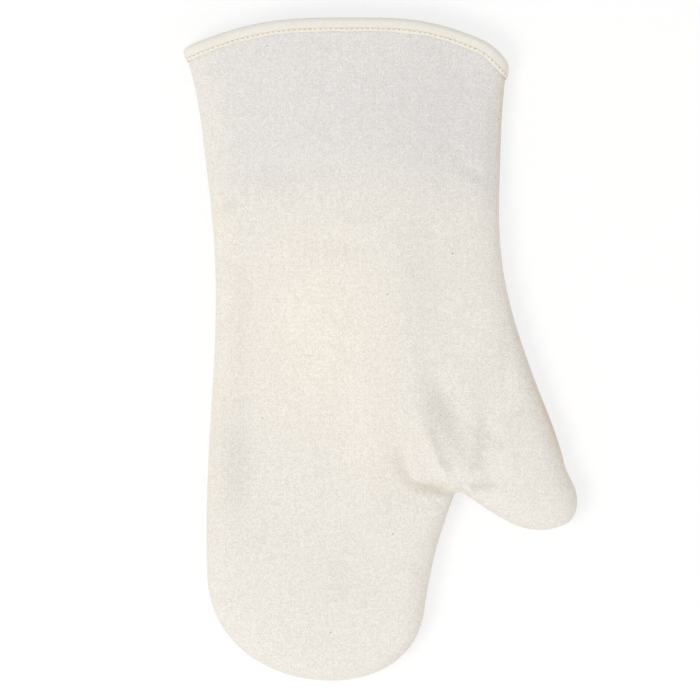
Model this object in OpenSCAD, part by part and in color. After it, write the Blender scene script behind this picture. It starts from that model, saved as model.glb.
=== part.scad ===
// Oven mitt, lying palm down on a flat surface.
// The two sides are each a stack of canvas, batting and lining, joined at the side seam.
// +Y runs from the fingertips to the cuff, +X to the thumb and +Z up; z = 0 is the surface it lies on.

/* [Overall size] */
// Length from the fingertips to the top of the cuff
mitt_length = 381; // [350:1:430]
// Width of the cuff, over its binding
cuff_width = 188; // [178:1:200]
// How far the cuff flares out past the little finger's side
cuff_flare = 13.5; // [8:0.5:20]
// How far the cuff's edge falls from its middle to the little finger's side
cuff_fall_finger_side = 17.5; // [12:0.5:23]
// How far the cuff's edge falls from its middle to the thumb's side
cuff_fall_thumb_side = 25.5; // [21:0.5:30]

/* [Hand] */
// Width across the wrist, where the mitt is narrowest
wrist_width = 167.3; // [160:0.1:174]
// Distance of the wrist below the top of the cuff
wrist_below_cuff = 96; // [80:1:110]
// Width of the finger pocket near its end
finger_width = 124.7; // [112:0.1:132]
// Height above the fingertips where the little finger's side starts to round
outer_round_height = 60; // [52:1:68]
// Height above the fingertips where the first finger's side starts to round
inner_round_height = 40; // [34:1:48]

/* [Thumb] */
// Height of the crotch above the fingertips
crotch_height = 107; // [98:1:116]
// Reach of the crotch from the little finger's side
crotch_reach = 145.2; // [140:0.1:152]
// Width of the rounded end of the crotch
crotch_width = 5.5; // [4:0.1:8]
// Reach of the thumb's tip from the little finger's side
thumb_reach = 213.3; // [204:0.1:224]
// Height of the thumb's tip above the fingertips
thumb_tip_height = 106; // [98:1:114]
// Drop from the thumb's tip to the start of its lower edge
thumb_tip_drop = 17; // [14:0.5:20]

/* [Layers] */
// Thickness of the canvas
canvas_t = 0.9; // [0.6:0.1:1.4]
// Thickness of the batting in the hand
batting_t = 4.4; // [3:0.1:5]
// Thickness of the batting where it meets the side seam
batting_seam_t = 4; // [3:0.1:5]
// Share of the batting's thickness that is left under the cuff's binding
cuff_press = 0.45; // [0.3:0.05:0.7]
// Thickness of the lining
lining_t = 0.7; // [0.4:0.1:1]
// Diameter of the sewing thread
thread_d = 0.6; // [0.4:0.1:0.8]

/* [Binding] */
// Width of the binding from the cuff's edge
binding_w = 8.2; // [7:0.1:9.6]
// Thickness of the folded binding
binding_t = 0.9; // [0.6:0.1:1.2]
// Distance of the stitching above the binding's lower edge
stitch_inset = 1.8; // [1.4:0.1:2.6]
// Length of one stitch with its gap
stitch_pitch = 3; // [2.5:0.1:4]
// Length of thread that shows in one stitch
stitch_length = 2.1; // [1.6:0.1:2.3]

/* [Fullness] */
// Height of the side seam above the surface, at the hand
hand_seam_height = 9.5; // [8.5:0.1:11]
// Height of the side seam above the surface, at the cuff
cuff_seam_height = 8; // [7.5:0.1:9.5]
// Rise of the upper side above the seam, at the hand
hand_rise = 15; // [12:0.1:20]
// Rise of the upper side above the seam, at the cuff
cuff_rise = 12.5; // [11:0.1:15]
// Extra crown in the middle of the upper side
crown = 2.5; // [0:0.1:5]
// Width over which the upper side rolls down to the seam
upper_roll = 20; // [16:0.5:24]
// Width over which the lower side rolls up to the seam
lower_roll = 15; // [13:0.5:18]
// Length over which the hand's fullness runs out towards the cuff
taper_length = 120; // [90:1:140]

/* [Hidden] */

layer_gap = 0.25;       // clearance between one layer and the next
flat_press = 0.15;      // depth of the lower canvas that the surface presses flat
thread_facets = 6;      // sides of a seam thread
stitch_facets = 16;     // facets with which a stitch is drawn
handle_share = 0.4;     // length of a curve's handles, as a share of its span
palm_view = 48;         // distance of the palm's centre from the crotch, across
crown_run = 45;         // distance over which the crown rises
press_run = 40;         // distance over which the batting swells below the binding
lift_run = 14;          // distance over which the cuff comes down to the surface
band_reach = 4;         // length of the cuff's band of cells below the binding
corner_run = 18;        // depth over which the cells turn from the cuff to the side
side_reach = 40;        // length by which the sides and the cuff's edge are run on
tip_share = 0.57;       // where the fingertips reach lowest, as a share of the fingers' width
thumb_round = 8.8;      // distance of the thumb's lower edge inside its tip
thumb_shoulder = [7.3, 19]; // start of the thumb's outer side, inside and above its tip
thumb_side = [25.8, 71];    // foot of the thumb's outer side, inside and above its tip
cuff_shoulder = [18.5, 11]; // where the cuff's edge turns down, from the thumb's side and the top
cuff_crest = 75;        // reach of the cuff's highest point
crotch_ends = [-0.6, 0.7]; // heights of the crotch's two ends, from the crotch's own
cut_depth = 10;         // depth of the block that presses the lower canvas flat

// Steps of the roll at the seam, as angles on its quarter ellipse
roll_angles = [0, 20, 40, 58, 74, 90];
// Rings inside the roll, as shares of the way to the palm's centre
inner_rings = [0.3, 0.64];
// Steps across the flat of the cuff
flat_steps = 8;
// Steps along each stretch of the sewn outline
sewn_steps = [4, 8, 8, 7, 5, 3, 5, 4, 3, 4, 7, 4];
// Steps along each stretch of the cuff's edge
cuff_steps = [6, 8, 8];
// Places along a ray where its distance from the seam is measured
ray_shares = [0, 0.02, 0.05, 0.09, 0.14, 0.2, 0.28, 0.38, 0.5, 0.65];

lap = layer_gap + binding_t;                    // what the binding adds outside the canvas
stitch_seat = lap + 1.5 * layer_gap + thread_d / 2; // centre of a stitch outside the canvas
cuff_lift = stitch_seat + thread_d / 2 + flat_press; // height of the cuff's canvas when laid down
edge_depth = binding_t + 2 * layer_gap;         // depth of the cloth's cut edges in the binding
stitch_depth = binding_w - stitch_inset;        // depth of the row of stitches
band_depth = binding_w + band_reach;            // depth at which the band ends and the hand starts
thread_room = thread_d + 3 * layer_gap;         // room for a seam thread between two layers

// Shape of the pattern: [x, y, heading of the edge], from the cuff round the hand to the cuff.
// x is measured from the little finger's side and y from the fingertips.
wrist_y = mitt_length - wrist_below_cuff;
finger_side = 0.8;
wrist_side = 1.5;
cuff_left = [lap - cuff_flare, mitt_length - cuff_fall_finger_side];
cuff_right = [cuff_width - cuff_flare - lap, mitt_length - cuff_fall_thumb_side];
sewn_anchors = [
    [cuff_left.x, cuff_left.y, -73],
    [wrist_side, wrist_y, -83],
    [finger_side, outer_round_height, -88],
    [finger_side + tip_share * finger_width, 0, 0],
    [finger_side + finger_width, inner_round_height, 82],
    [crotch_reach - crotch_width / 2, crotch_height + crotch_ends[0], 70],
    [crotch_reach + crotch_width / 2, crotch_height + crotch_ends[1], -32],
    [thumb_reach - thumb_round, thumb_tip_height - thumb_tip_drop, 20],
    [thumb_reach, thumb_tip_height, 98],
    [thumb_reach - thumb_shoulder.x, thumb_tip_height + thumb_shoulder.y, 104],
    [thumb_reach - thumb_side.x, thumb_tip_height + thumb_side.y, 110],
    [wrist_side + wrist_width, wrist_y, 88],
    [cuff_right.x, cuff_right.y, 82]
];
cuff_anchors = [
    [cuff_right.x + lap, cuff_right.y, 133],
    [cuff_right.x - cuff_shoulder.x, mitt_length - cuff_shoulder.y, 158],
    [cuff_crest, mitt_length, 180],
    [cuff_left.x - lap, cuff_left.y, 203]
];
palm = [crotch_reach - palm_view, crotch_height + 1.5 * palm_view];

function mix(a, b, t) = a + (b - a) * t;
function clip(t) = max(0, min(1, t));
function ease(t) = let (c = clip(t)) c * c * (3 - 2 * c);
function flat(a) = [a.x, a.y];
function heading(angle) = [cos(angle), sin(angle)];
function turn(p) = [-p.y, p.x] / norm(p);

// A point on the curve from one anchor to the next
function curve_point(a, b, t) =
    let (r = handle_share * norm(flat(b) - flat(a)),
         c = flat(a) + r * heading(a[2]), d = flat(b) - r * heading(b[2]), s = 1 - t)
    s * s * s * flat(a) + 3 * s * s * t * c + 3 * s * t * t * d + t * t * t * flat(b);

function curve(anchors, steps) = [
    for (i = [0 : len(steps) - 1]) for (k = [0 : steps[i] - 1])
        curve_point(anchors[i], anchors[i + 1], k / steps[i]),
    flat(anchors[len(anchors) - 1])
];

// The same curve with a straight run on at each end
function run_on(line, anchors) = [
    line[0] - side_reach * heading(anchors[0][2]),
    each line,
    line[len(line) - 1] + side_reach * heading(anchors[len(anchors) - 1][2])
];

sewn = curve(sewn_anchors, sewn_steps);
last = len(sewn) - 1;
seam_line = run_on(sewn, sewn_anchors);
left_table = [for (i = [sewn_steps[0] : -1 : 0]) [seam_line[i].y, seam_line[i].x]];
right_table = [for (i = [last - sewn_steps[11] + 1 : last + 2]) [seam_line[i].y, seam_line[i].x]];
cuff_edge = run_on(curve(cuff_anchors, cuff_steps), cuff_anchors);
cuff_last = len(cuff_edge) - 1;

// The cuff's edge moved in by v, from left to right
function cuff_line(v) = [
    for (i = [cuff_last : -1 : 0])
        cuff_edge[i] + v * turn(cuff_edge[min(i + 1, cuff_last)] - cuff_edge[max(i - 1, 0)])
];
edge_line = cuff_line(0);

// Depth of a point below the cuff's edge
function depth(p) = lookup(p.x, edge_line) - p.y;

// Distance of a point from the side seam
function segment_distance(p, a, b) =
    let (d = b - a, t = clip(((p - a) * d) / (d * d))) norm(p - a - t * d);
function seam_distance(p) =
    min([for (i = [1 : last + 2]) segment_distance(p, seam_line[i - 1], seam_line[i])]);

// Heights that change from the cuff to the hand, by the depth below the cuff's edge
function swell(c) = ease(c / taper_length);
function seam_z(c) = mix(cuff_seam_height, hand_seam_height, swell(c));
function lift(c) = cuff_lift * (1 - ease((c - binding_w) / lift_run));
function batting(c) = batting_t * mix(cuff_press, 1, ease((c - binding_w) / press_run));
function side_rise(side, c) = side > 0
    ? mix(cuff_rise, hand_rise, swell(c))
    : seam_z(c) - layer_gap / 2 - lift(c) + flat_press * ease((c - binding_w) / lift_run);
function side_roll(side) = side > 0 ? upper_roll : lower_roll;
function side_crown(side, d) = side > 0 ? crown * ease((d - upper_roll) / crown_run) : 0;

// Surfaces from the outside in: how far each is set in from the canvas, [across, in height]
canvas_out = function (c) [0, 0];
canvas_in = function (c) [canvas_t, canvas_t];
batting_out = function (c) [canvas_t + thread_room, canvas_t + layer_gap];
batting_in = function (c) batting_out(c) + [batting_seam_t, batting(c)];
lining_out = function (c) batting_in(c) + [thread_room, layer_gap];
lining_in = function (c) lining_out(c) + [lining_t, lining_t];
binding_out = function (c) [-lap, -lap];
binding_over = function (c) [-layer_gap, -layer_gap];
binding_under = function (c) lining_in(c) + [layer_gap, layer_gap];
binding_in = function (c) lining_in(c) + [lap, lap];
outer_row = function (c) [-stitch_seat, -stitch_seat];
inner_row = function (c) lining_in(c) + [stitch_seat, stitch_seat];
function fold(t) = function (c) mix(binding_out(c), binding_in(c), t);

// Height of a surface above or below the seam, on a quarter ellipse over the roll
function bulge(side, inset, p) =
    let (c = depth(p), d = seam_distance(p), a = inset(c)[0],
         t = clip((d - a) / (side_roll(side) - a)))
    (side_rise(side, c) - inset(c)[1]) * sqrt(1 - (1 - t) * (1 - t)) + side_crown(side, d);
function surface_point(side, inset, p) =
    [p.x, p.y, seam_z(depth(p)) + side * (layer_gap / 2 + bulge(side, inset, p))];
function seam_point(side, p) = [p.x, p.y, seam_z(depth(p)) + side * layer_gap / 2];

// Stations across the cuff: [stretch, share], where 0 is the left roll, 1 the flat, 2 the right roll
roll_shares = [for (a = roll_angles) 1 - cos(a)];
roll_last = len(roll_angles) - 1;
stations = [
    for (j = [0 : roll_last - 1]) [0, roll_shares[j]],
    for (k = [0 : flat_steps]) [1, k / flat_steps],
    for (j = [roll_last - 1 : -1 : 0]) [2, roll_shares[j]]
];
station_last = len(stations) - 1;
function arch(st) = st[0] == 1 ? 1 : sqrt(1 - (1 - st[1]) * (1 - st[1]));

// Where a line across the cuff meets a side that is moved in by a shift
left_lean = norm(sewn[1] - sewn[0]) / abs(sewn[1].y - sewn[0].y);
right_lean = norm(sewn[last] - sewn[last - 1]) / abs(sewn[last].y - sewn[last - 1].y);
function meet(line, edge, shift, y, steps = 5) =
    let (x = lookup(y, edge) + shift)
    steps == 0 ? [x, lookup(x, line)] : meet(line, edge, shift, lookup(x, line), steps - 1);
function meet_left(line, inset) = meet(line, left_table, left_lean * inset, cuff_left.y);
function meet_right(line, inset) = meet(line, right_table, -right_lean * inset, cuff_right.y);

// A point across the cuff, on a line at some depth, at an inset from the seam
function cuff_point(st, side, across, line) =
    let (roll = side_roll(side), u = across + (roll - across) * (st[0] == 1 ? 1 : st[1]))
    st[0] == 0 ? meet_left(line, u) : st[0] == 2 ? meet_right(line, u)
        : let (x = mix(meet_left(line, roll).x, meet_right(line, roll).x, st[1]))
          [x, lookup(x, line)];
function band_point(st, side, inset, line) =
    let (p = cuff_point(st, side, inset(0)[0], line), c = depth(p),
         top = side_rise(side, c) - inset(c)[1])
    [p.x, p.y, seam_z(c) + side * (layer_gap / 2 + arch(st) * top
        + (st[0] == 1 ? side_crown(side, seam_distance(p)) : 0))];
function band_row(side, inset, v) =
    let (line = cuff_line(v)) [for (st = stations) band_point(st, side, inset, line)];

// Points of the sewn outline below the band, each with its ray to the palm's centre
hand_points = [for (i = [1 : last - 1]) if (depth(sewn[i]) > 1.4 * band_depth) sewn[i]];
hand_rays = [for (p = hand_points) [for (t = ray_shares) [seam_distance(mix(p, palm, t)), t]]];
hand_last = len(hand_points) - 1;
function on_rays(d) = [
    for (n = [0 : hand_last]) mix(hand_points[n], palm, lookup(d, hand_rays[n]))
];

// A closed ring: the left end of a row, the hand, then the row from its right end back
function ring(row, hand) = [row[0], each hand, for (k = [station_last : -1 : 1]) row[k]];
function turned_row(row, line, left, right) = [
    for (p = row)
        let (x = mix(left.x, right.x, (p.x - row[0].x) / (row[station_last].x - row[0].x)))
        [x, lookup(x, line)]
];

// Points of a surface: rings from its boundary in to the palm's centre, then the cuff's band
function surface_points(side, inset) =
    let (across = inset(0)[0], reach = side_roll(side) - across,
         row = band_row(side, inset, band_depth),
         rolls = [for (j = [1 : roll_last])
             let (line = cuff_line(band_depth + corner_run * roll_shares[j]),
                  d = across + reach * roll_shares[j])
             ring(turned_row(row, line, meet_left(line, d), meet_right(line, d)), on_rays(d))],
         top = rolls[roll_last - 1])
    [
        each ring(row, [for (p = on_rays(across)) seam_point(side, p)]),
        for (r = rolls) for (p = r) surface_point(side, inset, p),
        for (r = inner_rings) for (p = top) surface_point(side, inset, mix(p, palm, r)),
        surface_point(side, inset, palm),
        for (v = [binding_w, stitch_depth, edge_depth]) each band_row(side, inset, v)
    ];

around = hand_last + 2 + station_last;
ring_count = len(roll_angles) + len(inner_rings);
centre_point = ring_count * around;
surface_size = centre_point + 1 + 3 * (station_last + 1);

// Number of the point at a row of the band and a station; row 0 is the hand's outer ring
function band_number(row, k) = row > 0
    ? centre_point + 1 + (row - 1) * (station_last + 1) + k
    : k == 0 ? 0 : hand_last + 2 + station_last - k;

// Two triangles for each cell of a grid, from the numbers of its four corners
function cell(a, b, c, d, flip) = flip ? [[a, c, b], [a, d, c]] : [[a, b, c], [a, c, d]];
function surface_faces(start, flip) = [
    for (j = [0 : ring_count - 2]) for (i = [0 : around - 1])
        let (h = (i + 1) % around, a = start + j * around)
        each cell(a + i, a + h, a + around + h, a + around + i, flip),
    for (i = [0 : around - 1])
        let (h = (i + 1) % around, a = start + (ring_count - 1) * around)
        flip ? [a + i, start + centre_point, a + h] : [a + i, a + h, start + centre_point],
    for (row = [0 : 2]) for (k = [0 : station_last - 1])
        each cell(start + band_number(row, k), start + band_number(row, k + 1),
            start + band_number(row + 1, k + 1), start + band_number(row + 1, k), flip)
];

// Numbers of the points along a surface's boundary
boundary = [
    for (row = [3 : -1 : 1]) band_number(row, 0),
    for (i = [0 : hand_last + 2]) i,
    for (row = [1 : 3]) band_number(row, station_last),
    for (k = [station_last - 1 : -1 : 1]) band_number(3, k)
];
function rim_faces(flip) = [
    for (i = [0 : len(boundary) - 1])
        let (a = boundary[i], b = boundary[(i + 1) % len(boundary)])
        each cell(a, surface_size + a, surface_size + b, b, flip)
];

// A layer of cloth between two surfaces, on the upper or the lower side
module layer(side, outer, inner) {
    up = side > 0;
    polyhedron(
        points = concat(surface_points(side, outer), surface_points(side, inner)),
        faces = concat(surface_faces(0, up), surface_faces(surface_size, !up), rim_faces(up)));
}

// Loop round the mouth of the cuff, at an inset and on a line at some depth
function mouth_loop(inset, v) =
    let (line = cuff_line(v), up = band_row(1, inset, v), down = band_row(-1, inset, v))
    [
        each [for (k = [0 : station_last]) let (p = up[k])
            k == 0 || k == station_last ? [p.x, p.y, seam_z(depth(p))] : p],
        for (k = [station_last - 1 : -1 : 1]) down[k]
    ];

// Section of the binding, as [surface, depth] round the folded strip
fold_turn = 1.5 * binding_t;
fold_edge = 0.4 * binding_t;
binding_section = [
    [binding_out, binding_w], [binding_out, stitch_depth], [binding_out, fold_turn],
    [fold(0.12), fold_edge], [fold(0.35), 0], [fold(0.65), 0], [fold(0.88), fold_edge],
    [binding_in, fold_turn], [binding_in, stitch_depth], [binding_in, binding_w],
    [binding_under, binding_w], [binding_under, stitch_depth], [binding_under, binding_t],
    [binding_over, binding_t], [binding_over, stitch_depth], [binding_over, binding_w]
];
binding_points = [for (s = binding_section) each mouth_loop(s[0], s[1])];

// Grid of rows joined one to the next, closed both ways or with its two ends filled
function tube_faces(rows, cols, closed) = [
    for (r = [0 : rows - (closed ? 1 : 2)]) for (s = [0 : cols - 1])
        let (q = (r + 1) % rows * cols, h = (s + 1) % cols)
        each cell(r * cols + s, r * cols + h, q + h, q + s, closed),
    if (!closed) [for (s = [cols - 1 : -1 : 0]) s],
    if (!closed) [for (s = [0 : cols - 1]) (rows - 1) * cols + s]
];

// Middle of the finished outline, which is the origin
x_values = [for (p = sewn) p.x, for (p = binding_points) p.x];
y_values = [for (p = sewn) p.y, for (p = binding_points) p.y];
centre = [min(x_values) + max(x_values), min(y_values) + max(y_values), 0] / 2;

// Seam thread between two layers, at an inset from the outline
module seam_thread(inset) {
    lines = [for (v = [edge_depth + thread_d, stitch_depth, binding_w, band_depth]) cuff_line(v)];
    path = [
        for (line = lines) meet_left(line, inset),
        each on_rays(inset),
        for (i = [len(lines) - 1 : -1 : 0]) meet_right(lines[i], inset)
    ];
    end = len(path) - 1;
    points = [for (i = [0 : end]) for (s = [0 : thread_facets - 1]) let (
        a = 360 * s / thread_facets, side = turn(path[min(i + 1, end)] - path[max(i - 1, 0)]),
        p = path[i] + thread_d / 2 * cos(a) * side)
        [p.x, p.y, seam_z(depth(path[i])) + thread_d / 2 * sin(a)]];
    polyhedron(points = points, faces = tube_faces(len(path), thread_facets, false));
}

// Length along a line up to each of its points, and a point at a length along it
function run_lengths(line, i = 0, sum = 0, out = []) = i == len(line) ? out :
    let (s = sum + (i == 0 ? 0 : norm(line[i] - line[i - 1])))
    run_lengths(line, i + 1, s, concat(out, [s]));
function along(line, lengths, s) = [
    for (axis = [0 : 2]) lookup(s, [for (i = [0 : len(line) - 1]) [lengths[i], line[i][axis]]])
];

// A straight piece of thread between two points
module thread(a, b) {
    v = b - a;
    translate(a) rotate([0, acos(v.z / norm(v)), atan2(v.y, v.x)])
        cylinder(d = thread_d, h = norm(v), $fn = stitch_facets);
}

// A row of stitches round the cuff; on the outside each one is lifted clear of the fold's curve
module stitch_row(inset, lifted) {
    loop = mouth_loop(inset, stitch_depth);
    line = concat(loop, [loop[0]]);
    lengths = run_lengths(line);
    count = floor(lengths[len(lengths) - 1] / stitch_pitch);
    pitch = lengths[len(lengths) - 1] / count;
    for (k = [0 : count - 1]) {
        a = along(line, lengths, k * pitch);
        b = along(line, lengths, k * pitch + stitch_length);
        m = along(line, lengths, k * pitch + stitch_length / 2);
        shift = lifted ? m - (a + b) / 2 : [0, 0, 0];
        thread(a + shift, b + shift);
    }
}

module upper_canvas() { color("linen") layer(1, canvas_out, canvas_in); }
module lower_canvas() {
    color("linen") difference() {
        layer(-1, canvas_out, canvas_in);
        translate([-cuff_width, -mitt_length / 2, -cut_depth])
            cube([3 * cuff_width, 2 * mitt_length, cut_depth]);
    }
}
module upper_batting() { color("white") layer(1, batting_out, batting_in); }
module lower_batting() { color("white") layer(-1, batting_out, batting_in); }
module upper_lining() { color("ivory") layer(1, lining_out, lining_in); }
module lower_lining() { color("ivory") layer(-1, lining_out, lining_in); }
module cuff_binding() {
    color("oldlace")
        polyhedron(points = binding_points,
            faces = tube_faces(len(binding_section), 2 * station_last, true));
}
module outer_stitches() { color("wheat") stitch_row(outer_row, true); }
module inner_stitches() { color("wheat") stitch_row(inner_row, false); }
module canvas_seam_thread() { color("wheat") seam_thread(canvas_t + thread_room / 2); }
module lining_seam_thread() { color("wheat") seam_thread(batting_in(0)[0] + thread_room / 2); }

translate(-centre) upper_canvas();
translate(-centre) lower_canvas();
translate(-centre) upper_batting();
translate(-centre) lower_batting();
translate(-centre) upper_lining();
translate(-centre) lower_lining();
translate(-centre) cuff_binding();
translate(-centre) outer_stitches();
translate(-centre) inner_stitches();
translate(-centre) canvas_seam_thread();
translate(-centre) lining_seam_thread();
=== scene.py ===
"""Dresses the frame of an oven mitt as what it is: padded canvas, sewn, turned and bound.

Lengths are in millimetres on the cutter's card, whose origin is the little finger's side at the
height of the fingertips. `Maker` moves them to the frame, in metres.
"""

from __future__ import annotations

import logging
import math
from dataclasses import dataclass, field, replace
from enum import Enum
from functools import cached_property

import bpy
import numpy as np
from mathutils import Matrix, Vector

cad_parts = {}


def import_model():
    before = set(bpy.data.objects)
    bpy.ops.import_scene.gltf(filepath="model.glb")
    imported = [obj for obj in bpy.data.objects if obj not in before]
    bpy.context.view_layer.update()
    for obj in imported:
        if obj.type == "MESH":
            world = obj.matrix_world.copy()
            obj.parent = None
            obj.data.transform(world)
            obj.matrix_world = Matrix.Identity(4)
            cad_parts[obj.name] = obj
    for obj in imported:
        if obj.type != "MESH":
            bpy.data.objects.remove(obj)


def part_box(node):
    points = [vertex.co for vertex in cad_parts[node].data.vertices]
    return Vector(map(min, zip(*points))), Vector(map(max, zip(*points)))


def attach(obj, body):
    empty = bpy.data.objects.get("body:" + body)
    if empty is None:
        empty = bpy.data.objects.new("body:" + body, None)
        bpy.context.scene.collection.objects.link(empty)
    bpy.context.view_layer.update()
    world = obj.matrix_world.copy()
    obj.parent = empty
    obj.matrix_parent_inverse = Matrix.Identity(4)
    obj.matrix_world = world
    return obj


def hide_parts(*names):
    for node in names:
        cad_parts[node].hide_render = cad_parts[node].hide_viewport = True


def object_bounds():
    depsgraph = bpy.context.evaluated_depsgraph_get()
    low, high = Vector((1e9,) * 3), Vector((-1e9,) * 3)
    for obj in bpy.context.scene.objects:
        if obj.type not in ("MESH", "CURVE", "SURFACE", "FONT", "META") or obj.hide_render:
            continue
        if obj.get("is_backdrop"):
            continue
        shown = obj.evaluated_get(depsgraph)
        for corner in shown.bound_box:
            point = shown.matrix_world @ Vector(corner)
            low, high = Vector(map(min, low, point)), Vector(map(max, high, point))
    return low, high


Array = np.ndarray
RGB = tuple[int, int, int]
RGBA = tuple[float, float, float, float]
MM = 0.001
ANY_PHASE = 6.28
LOG = logging.getLogger("oven_mitt")


class Side(Enum):
    """The two sides of the mitt as it lies: +1 faces up and -1 lies on the surface."""

    UPPER = 1
    LOWER = -1


def ease(t: Array | float) -> Array:
    """Smooth step of t, held at 0 and 1 outside its range: 3t^2 - 2t^3."""
    c = np.clip(t, 0.0, 1.0)
    return c * c * (3.0 - 2.0 * c)


def mix(a: Array | float, b: Array | float, t: Array | float) -> Array:
    """Value at share t of the way from a to b."""
    return a + (b - a) * t


def unit(v: Array) -> Array:
    """Vectors of v brought to length 1 along the last axis."""
    return v / np.maximum(np.linalg.norm(v, axis=-1, keepdims=True), 1e-12)


def heading(angle: float) -> Array:
    """Unit vector at an angle in degrees from +X."""
    return np.array([math.cos(math.radians(angle)), math.sin(math.radians(angle))])


def lengths(line: Array) -> Array:
    """Length along a line of points up to each of them."""
    return np.concatenate([[0.0], np.cumsum(np.linalg.norm(np.diff(line, axis=0), axis=1))])


def at_length(line: Array, where: Array) -> Array:
    """Points of a line at the given lengths along it, by linear interpolation."""
    run = lengths(line)
    return np.stack([np.interp(where, run, line[:, k]) for k in range(line.shape[1])], axis=1)


def cross(a: Array, b: Array) -> Array:
    """Cross product of plane vectors along the last axis."""
    return a[..., 0] * b[..., 1] - a[..., 1] * b[..., 0]


@dataclass(frozen=True)
class Near:
    """Where points lie from a line: distance, length along it, and the way to it."""

    far: Array
    run: Array
    way: Array


def nearest(points: Array, line: Array, stride: int = 5, block: int = 6000) -> Near:
    """The nearest place of a line of short straight spans, for each point.

    The nearest of every few corners is found first. On each span next to it the place is the
    start plus the span times the clipped share of the projection; the least distance is taken.

    Args:
        points: any array of points, two coordinates each.
        line: the line's points.
        stride: how many spans lie between the corners that are tried first.
        block: how many points are measured at once.

    Returns:
        The distance, the length along the line and the unit vector towards it, per point.
    """
    flat, run = points.reshape(-1, 2), lengths(line)
    corners, beside = line[::stride], np.arange(-stride - 1, stride + 1)
    far, where, way = [], [], []
    for part in np.array_split(flat, max(1, len(flat) // block)):
        square = sum((part[:, None, k] - corners[None, :, k]) ** 2 for k in (0, 1))
        spans = np.clip(square.argmin(1)[:, None] * stride + beside, 0, len(line) - 2)
        start, span = line[spans], line[spans + 1] - line[spans]
        away = part[:, None] - start
        share = np.clip((away * span).sum(2) / (span**2).sum(2), 0.0, 1.0)
        off = share[..., None] * span - away
        square = (off**2).sum(2)
        row, best = np.arange(len(part)), square.argmin(1)
        far.append(np.sqrt(square[row, best]))
        where.append(mix(run[spans], run[spans + 1], share)[row, best])
        way.append(unit(off[row, best]))
    shape = points.shape[:-1]
    return Near(np.concatenate(far).reshape(shape), np.concatenate(where).reshape(shape),
                np.concatenate(way).reshape(points.shape))


# ---------------------------------------------------------------- the cut and the layers


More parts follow.
